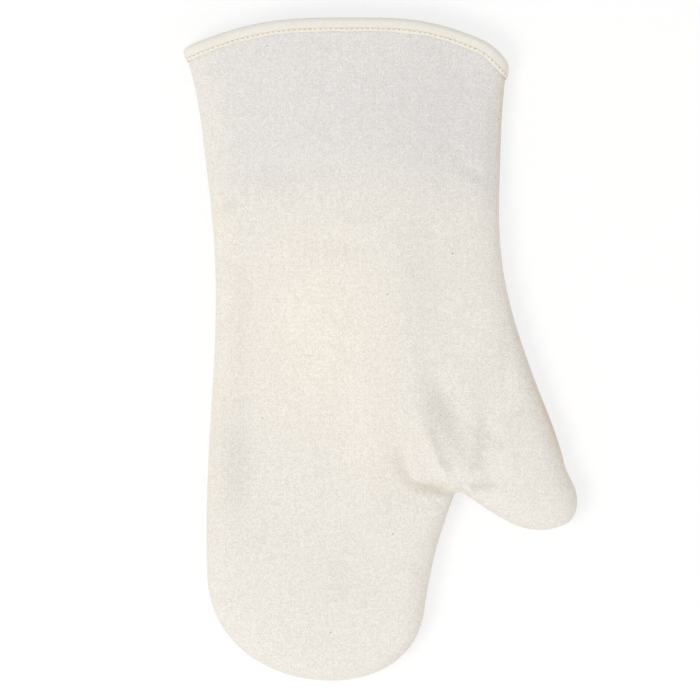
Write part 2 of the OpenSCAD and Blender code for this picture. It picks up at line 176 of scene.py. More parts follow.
@dataclass(frozen=True)
class Card:
    """The cutter's card: the outline that both sides are cut to."""

    length: float = 381.0
    cuff_width: float = 188.0
    cuff_flare: float = 13.5
    fall_finger_side: float = 17.5
    fall_thumb_side: float = 25.5
    wrist_width: float = 167.3
    wrist_below_cuff: float = 96.0
    finger_width: float = 124.7
    outer_round: float = 60.0
    inner_round: float = 40.0
    crotch_height: float = 107.0
    crotch_reach: float = 145.2
    crotch_width: float = 5.5
    thumb_reach: float = 213.3
    thumb_tip: float = 106.0
    thumb_drop: float = 17.0
    lap: float = 1.15
    handle: float = 0.4
    run_on: float = 40.0

    @property
    def sewn_anchors(self) -> Array:
        """Points of the sewn outline with the edge's heading, from the cuff round the hand.

        Returns:
            Rows of x, y and heading in degrees.
        """
        near, wrist, wrist_y = 0.8, 1.5, self.length - self.wrist_below_cuff
        return np.array([
            [self.lap - self.cuff_flare, self.length - self.fall_finger_side, -73],
            [wrist, wrist_y, -83],
            [near, self.outer_round, -88],
            [near + 0.57 * self.finger_width, 0, 0],
            [near + self.finger_width, self.inner_round, 82],
            [self.crotch_reach - self.crotch_width / 2, self.crotch_height - 0.6, 70],
            [self.crotch_reach + self.crotch_width / 2, self.crotch_height + 0.7, -32],
            [self.thumb_reach - 8.8, self.thumb_tip - self.thumb_drop, 20],
            [self.thumb_reach, self.thumb_tip, 98],
            [self.thumb_reach - 7.3, self.thumb_tip + 19, 104],
            [self.thumb_reach - 25.8, self.thumb_tip + 71, 110],
            [wrist + self.wrist_width, wrist_y, 88],
            [self.cuff_width - self.cuff_flare - self.lap, self.length - self.fall_thumb_side, 82],
        ])

    @property
    def cuff_anchors(self) -> Array:
        """Points of the cuff's bound edge with its heading, from the thumb's side back.

        Returns:
            Rows of x, y and heading in degrees.
        """
        first, final = self.sewn_anchors[0], self.sewn_anchors[-1]
        return np.array([
            [final[0] + self.lap, final[1], 133],
            [final[0] - 18.5, self.length - 11, 158],
            [75, self.length, 180],
            [first[0] - self.lap, first[1], 203],
        ])

    def curve(self, anchors: Array, step: float = 0.6) -> Array:
        """Cubic curve through anchors, with handles that are a share of each span's chord.

        Args:
            anchors: rows of x, y and heading in degrees.
            step: greatest distance between the points that are returned.

        Returns:
            Points of the curve, run straight on at both ends.
        """
        parts = [anchors[0, :2] - self.run_on * heading(anchors[0, 2])]
        for a, b in zip(anchors[:-1], anchors[1:]):
            chord = np.linalg.norm(b[:2] - a[:2])
            c = a[:2] + self.handle * chord * heading(a[2])
            d = b[:2] - self.handle * chord * heading(b[2])
            t = np.arange(int(chord / step) + 4)[:, None] / (int(chord / step) + 4)
            s = 1 - t
            parts.extend(s**3 * a[:2] + 3 * s * s * t * c + 3 * s * t * t * d + t**3 * b[:2])
        parts.append(anchors[-1, :2])
        parts.append(anchors[-1, :2] + self.run_on * heading(anchors[-1, 2]))
        return np.array(parts)

    @cached_property
    def seam_line(self) -> Array:
        """The sewn outline, run straight on past the cuff at both ends."""
        return self.curve(self.sewn_anchors)

    @cached_property
    def cuff_edge(self) -> Array:
        """The cuff's edge from left to right, run on at both ends."""
        return self.curve(self.cuff_anchors)[::-1]

    @cached_property
    def palm(self) -> Array:
        """Point of the palm that sees the whole outline."""
        return np.array([self.crotch_reach - 48.0, self.crotch_height + 72.0])

    def cuff_line(self, v: float) -> Array:
        """The cuff's edge moved in by v, from left to right."""
        edge = self.cuff_edge
        along = unit(np.gradient(edge, axis=0))
        return edge + v * np.stack([along[:, 1], -along[:, 0]], axis=1)

    def depth(self, xy: Array) -> Array:
        """Distance of points below the cuff's edge, measured down the card."""
        return np.interp(xy[..., 0], self.cuff_edge[:, 0], self.cuff_edge[:, 1]) - xy[..., 1]

    def by_seam(self, xy: Array) -> Near:
        """Where points lie from the side seam."""
        return nearest(xy, self.seam_line)

    @property
    def crotch(self) -> Array:
        """Middle of the crotch."""
        return np.array([self.crotch_reach, self.crotch_height])

    def meet(self, line: Array, u: Array | float, right: bool) -> Array:
        """Where a line across the cuff meets a side that is moved in by each of u.

        The side's x at the line's height and the line's height at that x are found in turn.

        Args:
            line: points of the line, from left to right.
            u: how far the side is moved in.
            right: whether it is the thumb's side.

        Returns:
            A point for each of u.
        """
        half = len(self.seam_line) // 3
        side = self.seam_line[-half:] if right else self.seam_line[:half][::-1]
        lean = side[-1] - side[-2]
        shift = (-1 if right else 1) * np.asarray(u, float) * np.linalg.norm(lean) / abs(lean[1])
        y = np.full(np.shape(shift), self.cuff_edge[-2 if right else 1, 1])
        for _ in range(10):
            x = np.interp(y, side[:, 1], side[:, 0]) + shift
            y = np.interp(x, line[:, 0], line[:, 1])
        return np.stack([x, y], axis=-1)


@dataclass(frozen=True)
class Stack:
    """The layers of one side, and how full the mitt lies."""

    canvas: float = 0.9
    batting_hand: float = 4.4
    batting_seam: float = 4.0
    cuff_press: float = 0.45
    lining: float = 0.7
    gap: float = 0.25
    thread: float = 0.6
    binding: float = 0.9
    binding_width: float = 8.2
    stitch_inset: float = 1.8
    hand_seam: float = 9.5
    cuff_seam: float = 8.0
    hand_rise: float = 15.0
    cuff_rise: float = 12.5
    crown: float = 2.5
    crown_run: float = 45.0
    inner_folds: float = 0.6
    upper_roll: float = 20.0
    lower_roll: float = 15.0
    taper: float = 120.0
    flat_press: float = 0.15
    groove: float = 0.7
    upper_round: float = 3.0
    lower_round: float = 2.2

    @property
    def lap(self) -> float:
        """What the binding adds outside the canvas."""
        return self.gap + self.binding

    @property
    def thread_room(self) -> float:
        """Room for a seam thread between two layers."""
        return self.thread + 3 * self.gap

    @property
    def stitch_depth(self) -> float:
        """Depth of the cuff's row of stitches below its edge."""
        return self.binding_width - self.stitch_inset

    @property
    def stitch_seat(self) -> float:
        """Centre of a stitch outside the canvas."""
        return self.lap + 1.5 * self.gap + self.thread / 2

    @property
    def cuff_lift(self) -> float:
        """Height of the cuff's lower canvas above the surface."""
        return self.stitch_seat + self.thread / 2 + self.flat_press

    def roll(self, side: Side) -> float:
        """Width over which a side rolls to the seam."""
        return self.upper_roll if side is Side.UPPER else self.lower_roll

    def arch(self, side: Side, free: Array) -> Array:
        """Share of the rise at a share t of the roll: (1 - (1 - t)^p)^(1 / p)."""
        p = self.upper_round if side is Side.UPPER else self.lower_round
        return (1 - (1 - np.clip(free, 0, 1)) ** p) ** (1 / p)

    def seam_z(self, c: Array) -> Array:
        """Height of the side seam, at a depth c below the cuff's edge."""
        return mix(self.cuff_seam, self.hand_seam, ease(c / self.taper))

    def batting(self, c: Array) -> Array:
        """Thickness of the batting, pressed thin under the binding."""
        return self.batting_hand * mix(self.cuff_press, 1.0, ease((c - self.binding_width) / 40.0))

    def rise(self, side: Side, c: Array) -> Array:
        """Greatest distance of a side's canvas from the seam's height.

        Args:
            side: the upper or lower side.
            c: depth below the cuff's edge.

        Returns:
            The distance, in millimetres.
        """
        if side is Side.UPPER:
            return mix(self.cuff_rise, self.hand_rise, ease(c / self.taper))
        down = ease((c - self.binding_width) / 14.0)
        return self.seam_z(c) - self.gap / 2 - self.cuff_lift * (1 - down)


class Level(Enum):
    """Surfaces of one side, from the outside in."""

    CANVAS_OUT = 0
    CANVAS_IN = 1
    BATTING_OUT = 2
    BATTING_IN = 3
    LINING_OUT = 4
    LINING_IN = 5

    def across(self, stack: Stack) -> float:
        """How far the surface is set in from the canvas, across the seam."""
        steps = [0.0, stack.canvas, stack.thread_room, stack.batting_seam, stack.thread_room,
                 stack.lining]
        return float(sum(steps[: self.value + 1]))

    def under(self, stack: Stack, c: Array) -> Array:
        """How far the surface is set in from the canvas, in height."""
        steps = [0.0, stack.canvas, stack.gap, stack.batting(c), stack.gap, stack.lining]
        return sum(steps[: self.value + 1]) + np.zeros_like(c)


# ---------------------------------------------------------------- folds of the cloth


@dataclass(frozen=True)
class Fold:
    """A ridge (height above 0) or valley along a bent line on the card.

    It is a sum of bells exp(-(distance / width)^2), one each at points along the line, which
    add up to the height beside it. Height runs out towards the ends over a share of its length.
    """

    path: tuple[tuple[float, float], ...]
    width: float
    height: float
    ends: float = 0.35
    taper: float = 1.0

    @cached_property
    def bells(self) -> tuple[Array, Array, Array]:
        """Middles of the bells on the rounded line, their widths and their heights.

        Returns:
            The three, one row per bell.
        """
        corners = np.array(self.path, float)
        t = np.linspace(0, 1, 41)
        line = np.stack([np.interp(t, np.linspace(0, 1, len(corners)), corners[:, k])
                         for k in (0, 1)], axis=1)
        padded = np.pad(line, ((4, 4), (0, 0)), mode="edge")
        line = np.stack([np.convolve(padded[:, k], np.ones(9) / 9, "valid") for k in (0, 1)],
                        axis=1)
        total = lengths(line)[-1]
        count = int(np.clip(total * 2.6 / (self.width * min(1.0, self.taper)), 6, 90))
        share = (np.arange(count) + 0.5) / count
        width = self.width * mix(1.0, self.taper, share)
        fade = ease(share / self.ends) * ease((1 - share) / self.ends)
        height = self.height * fade * (total / count) / (math.sqrt(math.pi) * width)
        return at_length(line, share * total), width, height

    def relief(self, xy: Array) -> Array:
        """Height that the fold adds at points of the card.

        Args:
            xy: points of the card.

        Returns:
            A height per point.
        """
        flat = xy.reshape(-1, 2)
        middle, width, height = self.bells
        reach = 2.7 * width.max()
        close = ((flat > middle.min(0) - reach) & (flat < middle.max(0) + reach)).all(1)
        out, inside = np.zeros(len(flat)), flat[close]
        square = sum((inside[:, None, k] - middle[None, :, k]) ** 2 for k in (0, 1))
        out[close] = (height * np.exp(-square / width**2)).sum(1)
        return out.reshape(xy.shape[:-1])


@dataclass(frozen=True)
class Drape:
    """The folds and swells of one side, and the ripples along its seam."""

    folds: tuple[Fold, ...]
    seed: int = 7
    pucker: float = 0.13
    pucker_lengths: tuple[float, ...] = (5.5, 8.0, 11.5, 17.0, 29.0)
    pucker_start: float = 1.2
    pucker_reach: float = 9.0

    def relief(self, xy: Array) -> Array:
        """Sum of all folds at points of the card.

        Args:
            xy: points of the card.

        Returns:
            A height per point.
        """
        total = np.zeros(xy.shape[:-1])
        for fold in self.folds:
            total += fold.relief(xy)
        return total

    def ripple(self, near: Near, depth: Array) -> Array:
        """Small puckers by the seam: waves along it that die away inwards.

        Args:
            near: where the points lie from the seam.
            depth: how far they lie below the cuff's edge.

        Returns:
            Height of the ripple at each point.
        """
        rng = np.random.default_rng(self.seed)
        waves = np.zeros_like(near.far)
        for wave in self.pucker_lengths:
            strength = rng.uniform(0.7, 1.3)
            drift = 1.6 * np.sin(near.run / (wave * 3.1) + rng.uniform(0, ANY_PHASE))
            phase = rng.uniform(0, ANY_PHASE)
            waves += strength * np.sin(2 * np.pi * near.run / wave + drift + phase)
        start = 1 - np.exp(-((near.far / self.pucker_start) ** 2))
        inwards = start * np.exp(-near.far / self.pucker_reach)
        return self.pucker * waves * inwards * ease((depth - 9.0) / 16.0)


UPPER_DRAPE = Drape(folds=(
    # the swell along the middle of the hand, and the hollows beside it
    Fold(((95, 330), (97, 270), (98, 215), (100, 165)), 34, 3.4, ends=0.4),
    Fold(((126, 290), (127, 240), (129, 188)), 11, -1.0),
    Fold(((29, 190), (26, 150), (25, 120), (23, 92)), 9, -1.7),
    Fold(((23, 255), (24, 222), (24, 195), (21, 168)), 7, -1.2),
    # the tuck that runs into the crotch from the palm, and the pillow above it
    Fold(((112, 142), (114, 126), (117, 116.5), (124, 112.4), (133, 111), (141, 109), (151, 106)),
         5.2, -3.0, ends=0.2, taper=0.38),
    Fold(((118, 114.5), (127, 112.2), (136, 110.8), (147, 108)), 2.5, -2.0, ends=0.3, taper=0.7),
    Fold(((121, 162), (126, 143), (132, 127), (141, 113.5)), 6.6, 3.7, ends=0.2, taper=0.55),
    # the broad hollow between the pillow and the thumb
    Fold(((125, 190), (134, 169), (143, 151), (148.5, 137), (149.5, 122)), 8.5, -3.9, ends=0.3,
         taper=0.8),
    Fold(((146.4, 117), (145.7, 111), (145.3, 103)), 1.2, -1.6, ends=0.3),
    # the hollow at the root of the thumb, a small facet, and the pocket below them
    Fold(((163, 158), (162, 143), (159.5, 128), (156, 117)), 6.2, -3.8, ends=0.3, taper=0.5),
    Fold(((151.5, 128), (151, 121), (149, 114)), 2.2, 0.9, ends=0.3),
    Fold(((149, 113.6), (156, 112.6), (162, 113), (170, 118.5)), 3.0, -3.6, ends=0.4),
    # short puckers by the seams
    Fold(((178, 206), (174.5, 193), (172.5, 181), (172.5, 168)), 4.0, -1.4),
    Fold(((176, 178.5), (178.5, 175.5), (181.5, 172.5)), 3.0, 1.1),
    Fold(((178, 172.5), (182, 170.8), (188, 170.6)), 1.6, -1.0),
    Fold(((175, 152), (181.5, 156), (190, 160)), 1.5, -0.9),
    Fold(((136, 301.5), (148, 295), (158, 289.5), (172, 283)), 3.4, -1.4, ends=0.45),
    Fold(((4, 269), (13, 273.2), (22, 279)), 2.0, -1.2),
    Fold(((6, 244), (14, 242.5), (22, 236.5)), 2.2, -1.1),
    Fold(((58, 251.5), (80, 252.5), (101, 251)), 3.0, -1.1),
    Fold(((-8, 290), (30, 293), (60, 296), (90, 296)), 7, -0.6, ends=0.2),
    # the shoulder of the thumb and of the cuff, which fall away to the seam
    Fold(((179, 207), (189.8, 174), (199.6, 145), (208.2, 120), (213.4, 104)), 5.5, -5.0, ends=0.2),
    Fold(((172.5, 346), (169.6, 316), (169, 276)), 5.5, -4.0, ends=0.2),
))
LOWER_DRAPE = Drape(folds=(
    Fold(((141, 112), (128, 120), (112, 124)), 5, -0.5),
    Fold(((147, 114), (143, 128), (136, 146)), 4, -0.6),
    Fold(((152, 112), (164, 120), (176, 124)), 5, -0.5),
), seed=11)


@dataclass(frozen=True)
class PaintedLightPatch:
    """Painted light or painted shade on part of the cloth, with a warmer or greyer tint and a soft
    outline.

    It is a bell exp(-(x / across)^2 - (y / along)^2), turned by an angle.
    """

    middle: tuple[float, float]
    across: float
    along: float
    light: float
    warm: float
    turn: float = 0.0

    def share(self, xy: Array) -> Array:
        """How strong the patch is at points of the card."""
        away, ahead = xy - np.array(self.middle), heading(self.turn)
        x, y = (away * ahead).sum(-1), cross(ahead, away)
        return np.exp(-((x / self.across) ** 2) - (y / self.along) ** 2)


@dataclass(frozen=True)
class PaintedRimShade:
    """Painted shadow along a stretch of the thumb's side, darker and creamier where the side rolls
    down away from the light.

    It is a bell exp(-(y / along)^2) along the mitt times exp(-(far / width)^2) inwards, and
    its tint is what it adds to the factor on red, green and blue.
    """

    middle: float
    along: float
    width: float
    tint: tuple[float, float, float]
    from_x: float = 120.0

    def share(self, xy: Array, far: Array) -> Array:
        """How strong the rim is at points of the card that lie so far from the seam."""
        bell = np.exp(-(((xy[..., 1] - self.middle) / self.along) ** 2) - (far / self.width) ** 2)
        return bell * (xy[..., 0] > self.from_x)


@dataclass(frozen=True)
class PaintedShading:
    """Painted light and shade on the cloth: painted shade greys the cuff, the creases and the
    thumb's side, painted light creams the palm.
    """

    # painted light where the cloth faces the lamp, painted shade in the tuck, pits and hollows and
    # along the thumb's side
    painted_patches: tuple[PaintedLightPatch, ...] = (
        PaintedLightPatch((66, 200), 44, 62, 0.55, 1.0),
        PaintedLightPatch((56, 206), 17, 46, 0.5, 0.0, turn=20),
        PaintedLightPatch((90, 130), 15, 36, 0.8, 0.2),
        PaintedLightPatch((112, 128), 20, 34, -0.2, 0.3),
        PaintedLightPatch((140, 320), 34, 60, -0.6, 0.0),
        PaintedLightPatch((15, 124), 12, 34, -1.4, 0.1),
        PaintedLightPatch((20, 205), 7, 26, -0.6, 0.0),
        PaintedLightPatch((40, 82), 22, 15, -0.6, 0.0),
        PaintedLightPatch((70, 54), 24, 16, -0.8, 0.0),
        PaintedLightPatch((37, 286), 16, 6, -0.6, 0.0),
        PaintedLightPatch((0, 250), 14, 150, 0.2, 0.7),
        PaintedLightPatch((2, 318), 16, 40, 0.5, 0.6),
        PaintedLightPatch((80, 247.5), 18, 2.6, -0.5, 0.0),
        PaintedLightPatch((80, 256), 18, 3.5, 0.2, 0.0),
        PaintedLightPatch((124, 225), 10, 34, -0.4, 0.0),
        PaintedLightPatch((128, 322), 60, 30, -0.2, 0.0),
        PaintedLightPatch((159, 288), 12, 3.2, -0.5, 0.0, turn=-28),
        PaintedLightPatch((137, 158), 9, 20, -0.6, 0.1, turn=20),
        PaintedLightPatch((185, 150), 14, 14, -0.4, 0.0),
        PaintedLightPatch((131, 111), 10, 2.2, -1.4, 2.0, turn=-10),
        PaintedLightPatch((158.5, 113), 8, 3.2, -2.0, 0.4, turn=10),
        PaintedLightPatch((155, 138), 9, 15, -1.2, 0.0),
        PaintedLightPatch((139, 153), 8, 16, -0.9, 0.0, turn=20),
        PaintedLightPatch((136, 126), 4, 12, 0.7, 0.2, turn=25),
        PaintedLightPatch((172, 195), 8, 14, -0.7, 0.0),
        PaintedLightPatch((178, 175), 3.5, 3, 0.8, 0.0),
        PaintedLightPatch((202.5, 143), 4.5, 38, -2.4, 2.6, turn=19),
        PaintedLightPatch((172, 320), 4, 34, -1.0, 2.8),
    )
    # painted shadows along the thumb's side and the cuff's right side, where they turn away from
    # the light
    painted_rim_shades: tuple[PaintedRimShade, ...] = (
        PaintedRimShade(159, 34, 3.2, (-0.09, -0.13, -0.15)),
        PaintedRimShade(203, 20, 3.0, (-0.04, -0.06, -0.06)),
        PaintedRimShade(318, 42, 3.8, (0.0, -0.04, -0.08)),
    )
    # painted shade that greys the cuff, fading out over cuff_fade below cuff_from
    cuff_painted_shade: float = -0.7
    cuff_shade_tint: float = -1.1
    cuff_from: float = 66.0
    cuff_fade: float = 44.0
    light_step: tuple[float, float, float] = (0.05, 0.05, 0.05)
    warm_step: tuple[float, float, float] = (0.014, 0.0, -0.038)

    def colour(self, xy: Array, depth: Array, far: Array) -> Array:
        """Factor of painted light and shade on the cloth's colour at points of the card: 1 plus the
        steps that apply.

        Args:
            xy: the points.
            depth: how far they lie from the cuff's edge.
            far: how far they lie from the seam.

        Returns:
            Red, green, blue and 1 per point.
        """
        cuff = 1 - ease((depth - self.cuff_from) / self.cuff_fade)
        light, warm = self.cuff_painted_shade * cuff, self.cuff_shade_tint * cuff
        for patch in self.painted_patches:
            share = patch.share(xy)
            light, warm = light + patch.light * share, warm + patch.warm * share
        factor = (1 + light[..., None] * np.array(self.light_step)
                  + warm[..., None] * np.array(self.warm_step))
        for rim in self.painted_rim_shades:
            factor = factor + rim.share(xy, far)[..., None] * np.array(rim.tint)
        return np.concatenate([factor, np.ones((*factor.shape[:-1], 1))], axis=-1)


@dataclass(frozen=True)
class Settle:
    """How far the cloth moved when it was let go; nothing where it wasn't."""

    place: Array | None = None
    moved: Array | None = None
    pitch: float = 3.0
    reach: float = 5.0
    seam_fade: float = 7.0
    cuff_held: float = 9.0
    cuff_fade: float = 12.0

    @cached_property
    def grid(self) -> tuple[Array, Array]:
        """First corner of an even grid over the card, and the movement at its points.

        Each is the mean of the coarse points' movement, weighed by exp(-(distance / reach)^2),
        which is one factor along X times one along Y.

        Returns:
            The corner, and columns by rows by three.
        """
        low = self.place.min(0) - 3 * self.pitch
        count = np.ceil((self.place.max(0) - low) / self.pitch).astype(int) + 4
        x, y = (np.exp(-(((low[k] + self.pitch * np.arange(count[k]))[:, None]
                          - self.place[:, k]) / self.reach) ** 2) for k in (0, 1))
        moved = np.stack([x @ (y * part).T for part in self.moved.T], axis=-1)
        return low, moved / (x @ y.T + 1e-9)[..., None]

    def at(self, weft: Weft) -> Array:
        """Movement at the points of a weft, by a cubic B-spline of the grid.

        Args:
            weft: the weft whose points ask.

        Returns:
            Rings by points by three, in millimetres, dying away towards the seam and the cuff.
        """
        out = np.zeros((*weft.xy.shape[:2], 3))
        if self.moved is None:
            return out
        low, grid = self.grid
        share = (weft.xy - low) / self.pitch
        cell = np.floor(share).astype(int)
        t = share - cell
        weights = np.stack([(1 - t) ** 3, 3 * t**3 - 6 * t**2 + 4,
                            -3 * t**3 + 3 * t**2 + 3 * t + 1, t**3]) / 6
        for i, j in np.ndindex(4, 4):
            weight = weights[i, ..., 0] * weights[j, ..., 1]
            out += weight[..., None] * grid[cell[..., 0] + i - 1, cell[..., 1] + j - 1]
        free = ease(weft.near.far / self.seam_fade)
        free = free * ease((weft.depth - self.cuff_held) / self.cuff_fade)
        return out * free[..., None]


# ---------------------------------------------------------------- meshes


@dataclass
class Weft:
    """A surface over the card, in rings from its boundary to the palm.

    `d` is the distance inwards from the seam, kept even along each ring close to it; `turn`
    counts 0 to 1 along the sewn outline and 1 to 2 back across the cuff.
    """

    xy: Array
    d: Array
    near: Near
    depth: Array
    turn: Array


@dataclass(frozen=True)
class Weaver:
    """Lays rings over the card, close by the seam where the cloth rolls, and wide inside."""

    card: Card
    stack: Stack
    pitch: float = 2.0
    tight: float = 2.2
    first_step: float = 0.012
    growth: float = 1.45
    last_step: float = 1.4
    half: float = 88.0
    crotch_spread: float = 32.0
    corner: float = 30.0
    ray_marks: int = 26

    @cached_property
    def seam_points(self) -> tuple[Array, Array]:
        """Points along the sewn outline, closer by the crotch, and their lengths along it.

        Returns:
            The points and the lengths.
        """
        line = self.card.seam_line[1:-1]
        run = lengths(line)
        by_crotch = np.exp(-((np.linalg.norm(line - self.card.crotch, axis=1)
                              / self.crotch_spread) ** 2))
        close = np.concatenate([[0.0], np.cumsum(np.diff(run) * (
            1 + (self.tight - 1) * by_crotch[1:]) / self.pitch)])
        edge = 3.0 / self.pitch
        where = np.interp(np.linspace(edge, close[-1] - edge, int(close[-1])), close, run)
        return at_length(line, where), where

    @cached_property
    def ray_table(self) -> tuple[Array, Array]:
        """Distance from the seam along each ray to the palm, at shares of the ray.

        Returns:
            Rays by marks, and the share at each mark.
        """
        points = self.seam_points[0]
        shares = np.linspace(0, 1, self.ray_marks) ** 1.7 * 0.5
        places = mix(points[:, None], self.card.palm[None, None], shares[None, :, None])
        table = np.maximum.accumulate(self.card.by_seam(places).far, axis=1)
        table[:, 0] = 0.0
        return table + 1e-6 * np.arange(self.ray_marks), shares

    def on_rays(self, d: float) -> Array:
        """Points on the rays at a distance d from the seam, by inverting the table.

        Args:
            d: the distance, in millimetres.

        Returns:
            One point per ray.
        """
        table, shares = self.ray_table
        high = np.clip((table < d).sum(1), 1, table.shape[1] - 1)
        row = np.arange(len(table))
        low_d, high_d = table[row, high - 1], table[row, high]
        t = mix(shares[high - 1], shares[high], (d - low_d) / (high_d - low_d))
        return mix(self.seam_points[0], self.card.palm, t[:, None])

    @cached_property
    def steps(self) -> Array:
        """Distances inwards of the rings: steps that grow by a factor up to the last step.

        Returns:
            The distances, from 0 to less than the half width.
        """
        grown = self.first_step * self.growth ** np.arange(60)
        step = np.minimum(grown, self.last_step)
        inwards = np.concatenate([[0.0], np.cumsum(step)])
        inwards = np.concatenate([inwards, np.arange(inwards[-1], self.half, self.last_step)[1:]])
        return inwards[inwards < self.half] if inwards[-1] >= self.half else inwards

    def cuff_shares(self, roll: float) -> Array:
        """Shares across the cuff, close in its two rolls and even between them.

        Args:
            roll: width of each roll.

        Returns:
            Shares from 0 to 1.
        """
        width = self.card.cuff_width
        bent = roll * (1 - np.cos(np.linspace(0, np.pi / 2, 16) ** 1.25 / (np.pi / 2) ** 0.25))
        middle = np.linspace(roll, width - roll, int((width - 2 * roll) / self.pitch) + 1)
        return np.concatenate([bent[:-1], middle, width - bent[:-1][::-1]]) / width

    def lay(self, side: Side, level: Level) -> Weft:
        """Lays the rings of one surface of one side.

        The outermost ring is the surface's boundary. Each of its points moves towards the palm
        by the share x g / (1 + x (g - 1)), where x is the ring's step over the half width and
        g the half width over the palm's distance from the boundary's tangent, so that the
        rings by the seam lie at their steps from it and all come together in the palm.

        Args:
            side: the upper or lower side.
            level: which surface of the stack.

        Returns:
            The laid surface.
        """
        card, a = self.card, level.across(self.stack)
        shares = self.cuff_shares(self.stack.roll(side))
        line = card.cuff_line(self.stack.binding + 2 * self.stack.gap)
        left, right = card.meet(line, a, False), card.meet(line, a, True)
        x = mix(left[0], right[0], shares)
        row = np.stack([x, np.interp(x, line[:, 0], line[:, 1])], axis=1)
        hand = self.on_rays(a)
        beside, above = (np.abs(cross(unit(np.gradient(part, axis=0)), card.palm - part))
                         for part in (hand, row))
        run = lengths(row)
        above = mix(beside[-1], above, ease((run[-1] - run) / self.corner))
        above = mix(beside[0], above, ease(run / self.corner))
        rim = np.concatenate([row[:1], hand, row[:0:-1]])
        g = self.half / np.concatenate([above[:1], beside, above[:0:-1]])
        steps = np.minimum(self.steps / self.half, 0.985)[:, None]
        share = steps * g / (1 + steps * (g - 1))
        xy = mix(rim[None], card.palm, share[..., None])
        near = card.by_seam(xy)
        near.way[0] = near.way[1]
        aimed = np.broadcast_to(self.steps[:, None] + a, near.far.shape)
        cuff = np.arange(xy.shape[1]) > len(hand)
        trust = ease((self.steps[:, None] - 0.3) / 3.0)
        d = np.where(cuff, near.far, mix(aimed, near.far, trust))
        where, span = self.seam_points[1], lengths(card.seam_line[1:-1])[-1]
        return Weft(xy, np.maximum(d, a), near, card.depth(xy),
                    np.concatenate([[0.0], where / span, 2 - shares[:0:-1]]))


@dataclass(frozen=True)
class Surface:
    """Stands a laid surface up to its height, with its folds and its flat pattern."""

    stack: Stack
    card: Card
    side: Side
    drape: Drape
    settle: Settle
    groove_height: float = 0.8
    inner_groove: float = 0.4
    cuff_held: float = 9.0
    cuff_fade: float = 8.0
    nominal_rise: float = 14.0
    crotch_spread: float = 18.0

    def points(self, level: Level, weft: Weft) -> Array:
        """Points of the surface, in millimetres on the card.

        The height is the side's rise, less the layers outside the surface, times the arch,
        with the crown, the folds and the puckers by the seam added; the batting's inner face
        and the lining take only a share of them. The seam itself is drawn in by a groove that
        dies away within a millimetre of height.

        Args:
            level: which surface of the stack.
            weft: its laid points.

        Returns:
            Rings by points by three.
        """
        stack, c, a = self.stack, weft.depth, level.across(self.stack)
        rise = stack.rise(self.side, c) - level.under(stack, c)
        arch = stack.arch(self.side, (weft.d - a) / (stack.roll(self.side) - a))
        keep = 1.0 if level.value < Level.BATTING_IN.value else stack.inner_folds
        height = rise * arch
        if self.side is Side.UPPER:
            height += stack.crown * ease((weft.d - stack.upper_roll) / stack.crown_run)
        height += self.drape.relief(weft.xy) * arch**2 * keep
        height += self.drape.ripple(weft.near, c) * keep
        z = stack.seam_z(c) + self.side.value * (stack.gap / 2 + height)
        floor = level.under(stack, c) if self.side is Side.LOWER else 0.0
        z = np.maximum(z, floor)
        share = {Level.CANVAS_OUT: 1.0, Level.CANVAS_IN: self.inner_groove}.get(level, 0.0)
        drawn = share * stack.groove * np.exp(-((rise * arch / self.groove_height) ** 2))
        drawn = drawn * ease((c - self.cuff_held) / self.cuff_fade)
        xy = weft.xy + drawn[..., None] * unit(self.card.palm - weft.xy)
        return np.concatenate([xy, z[..., None]], axis=2) + keep * self.settle.at(weft)

    def pattern(self, weft: Weft) -> Array:
        """Flat place of each point: the roll is laid out at its length beyond its top.

        A point moves outwards by the arc length of the roll's profile less the roll's width.
        It moves straight to the seam, and by the crotch along the ray from the palm.

        Args:
            weft: the laid points.

        Returns:
            Rings by points by two, in millimetres.
        """
        roll, rise = self.stack.roll(self.side), self.stack.rise(self.side, weft.depth)
        t = np.linspace(0, 1, 400) ** 3
        climb = np.diff(self.nominal_rise * self.stack.arch(self.side, t))
        arc = np.sqrt(np.diff(roll * t) ** 2 + climb**2) - np.diff(roll * t)
        extra = np.concatenate([np.cumsum(arc[::-1])[::-1], [0.0]])
        out = rise / self.nominal_rise * np.interp(weft.d / roll, t, extra)
        ray = unit(weft.xy - self.card.palm)
        away = ((weft.xy - self.card.crotch) ** 2).sum(2)
        by_crotch = np.exp(-(away / self.crotch_spread**2))
        way = unit(mix(weft.near.way, ray, by_crotch[..., None]))
        return weft.xy + way * out[..., None]


@dataclass
class Shape:
    """A mesh in the making: points in millimetres, faces, and the flat place of each point."""

    points: Array
    quads: Array
    triangles: Array = field(default_factory=lambda: np.zeros((0, 3), int))
    flat: Array | None = None
    values: dict[str, Array] = field(default_factory=dict)

    def flipped(self) -> Shape:
        """The same shape with its faces turned over."""
        return Shape(self.points, self.quads[:, ::-1], self.triangles[:, ::-1], self.flat,
                     self.values)


def grid_quads(rows: int, columns: int, wrap_rows: bool = False) -> Array:
    """Quads between neighbours of a grid whose columns close on themselves.

    Args:
        rows: how many rows the grid has.
        columns: how many points each has.
        wrap_rows: whether the last row joins the first.

    Returns:
        Four corners per quad.
    """
    r = np.arange(rows if wrap_rows else rows - 1)[:, None]
    k = np.arange(columns)[None]
    q, h = (r + 1) % rows, (k + 1) % columns
    corners = [r * columns + k, r * columns + h, q * columns + h, q * columns + k]
    return np.stack(np.broadcast_arrays(*corners), axis=-1).reshape(-1, 4)


def with_palm(grid: Array) -> Array:
    """Points of a grid in one row, and the middle of its last ring after them."""
    return np.concatenate([grid.reshape(-1, grid.shape[-1]), grid[-1].mean(0)[None]])


def palm_fan(rings: int, around: int) -> Array:
    """Triangles from a grid's last ring to the point that follows the grid."""
    k, last = np.arange(around), (rings - 1) * around
    return np.stack([last + k, last + (k + 1) % around, np.full(around, rings * around)], axis=1)


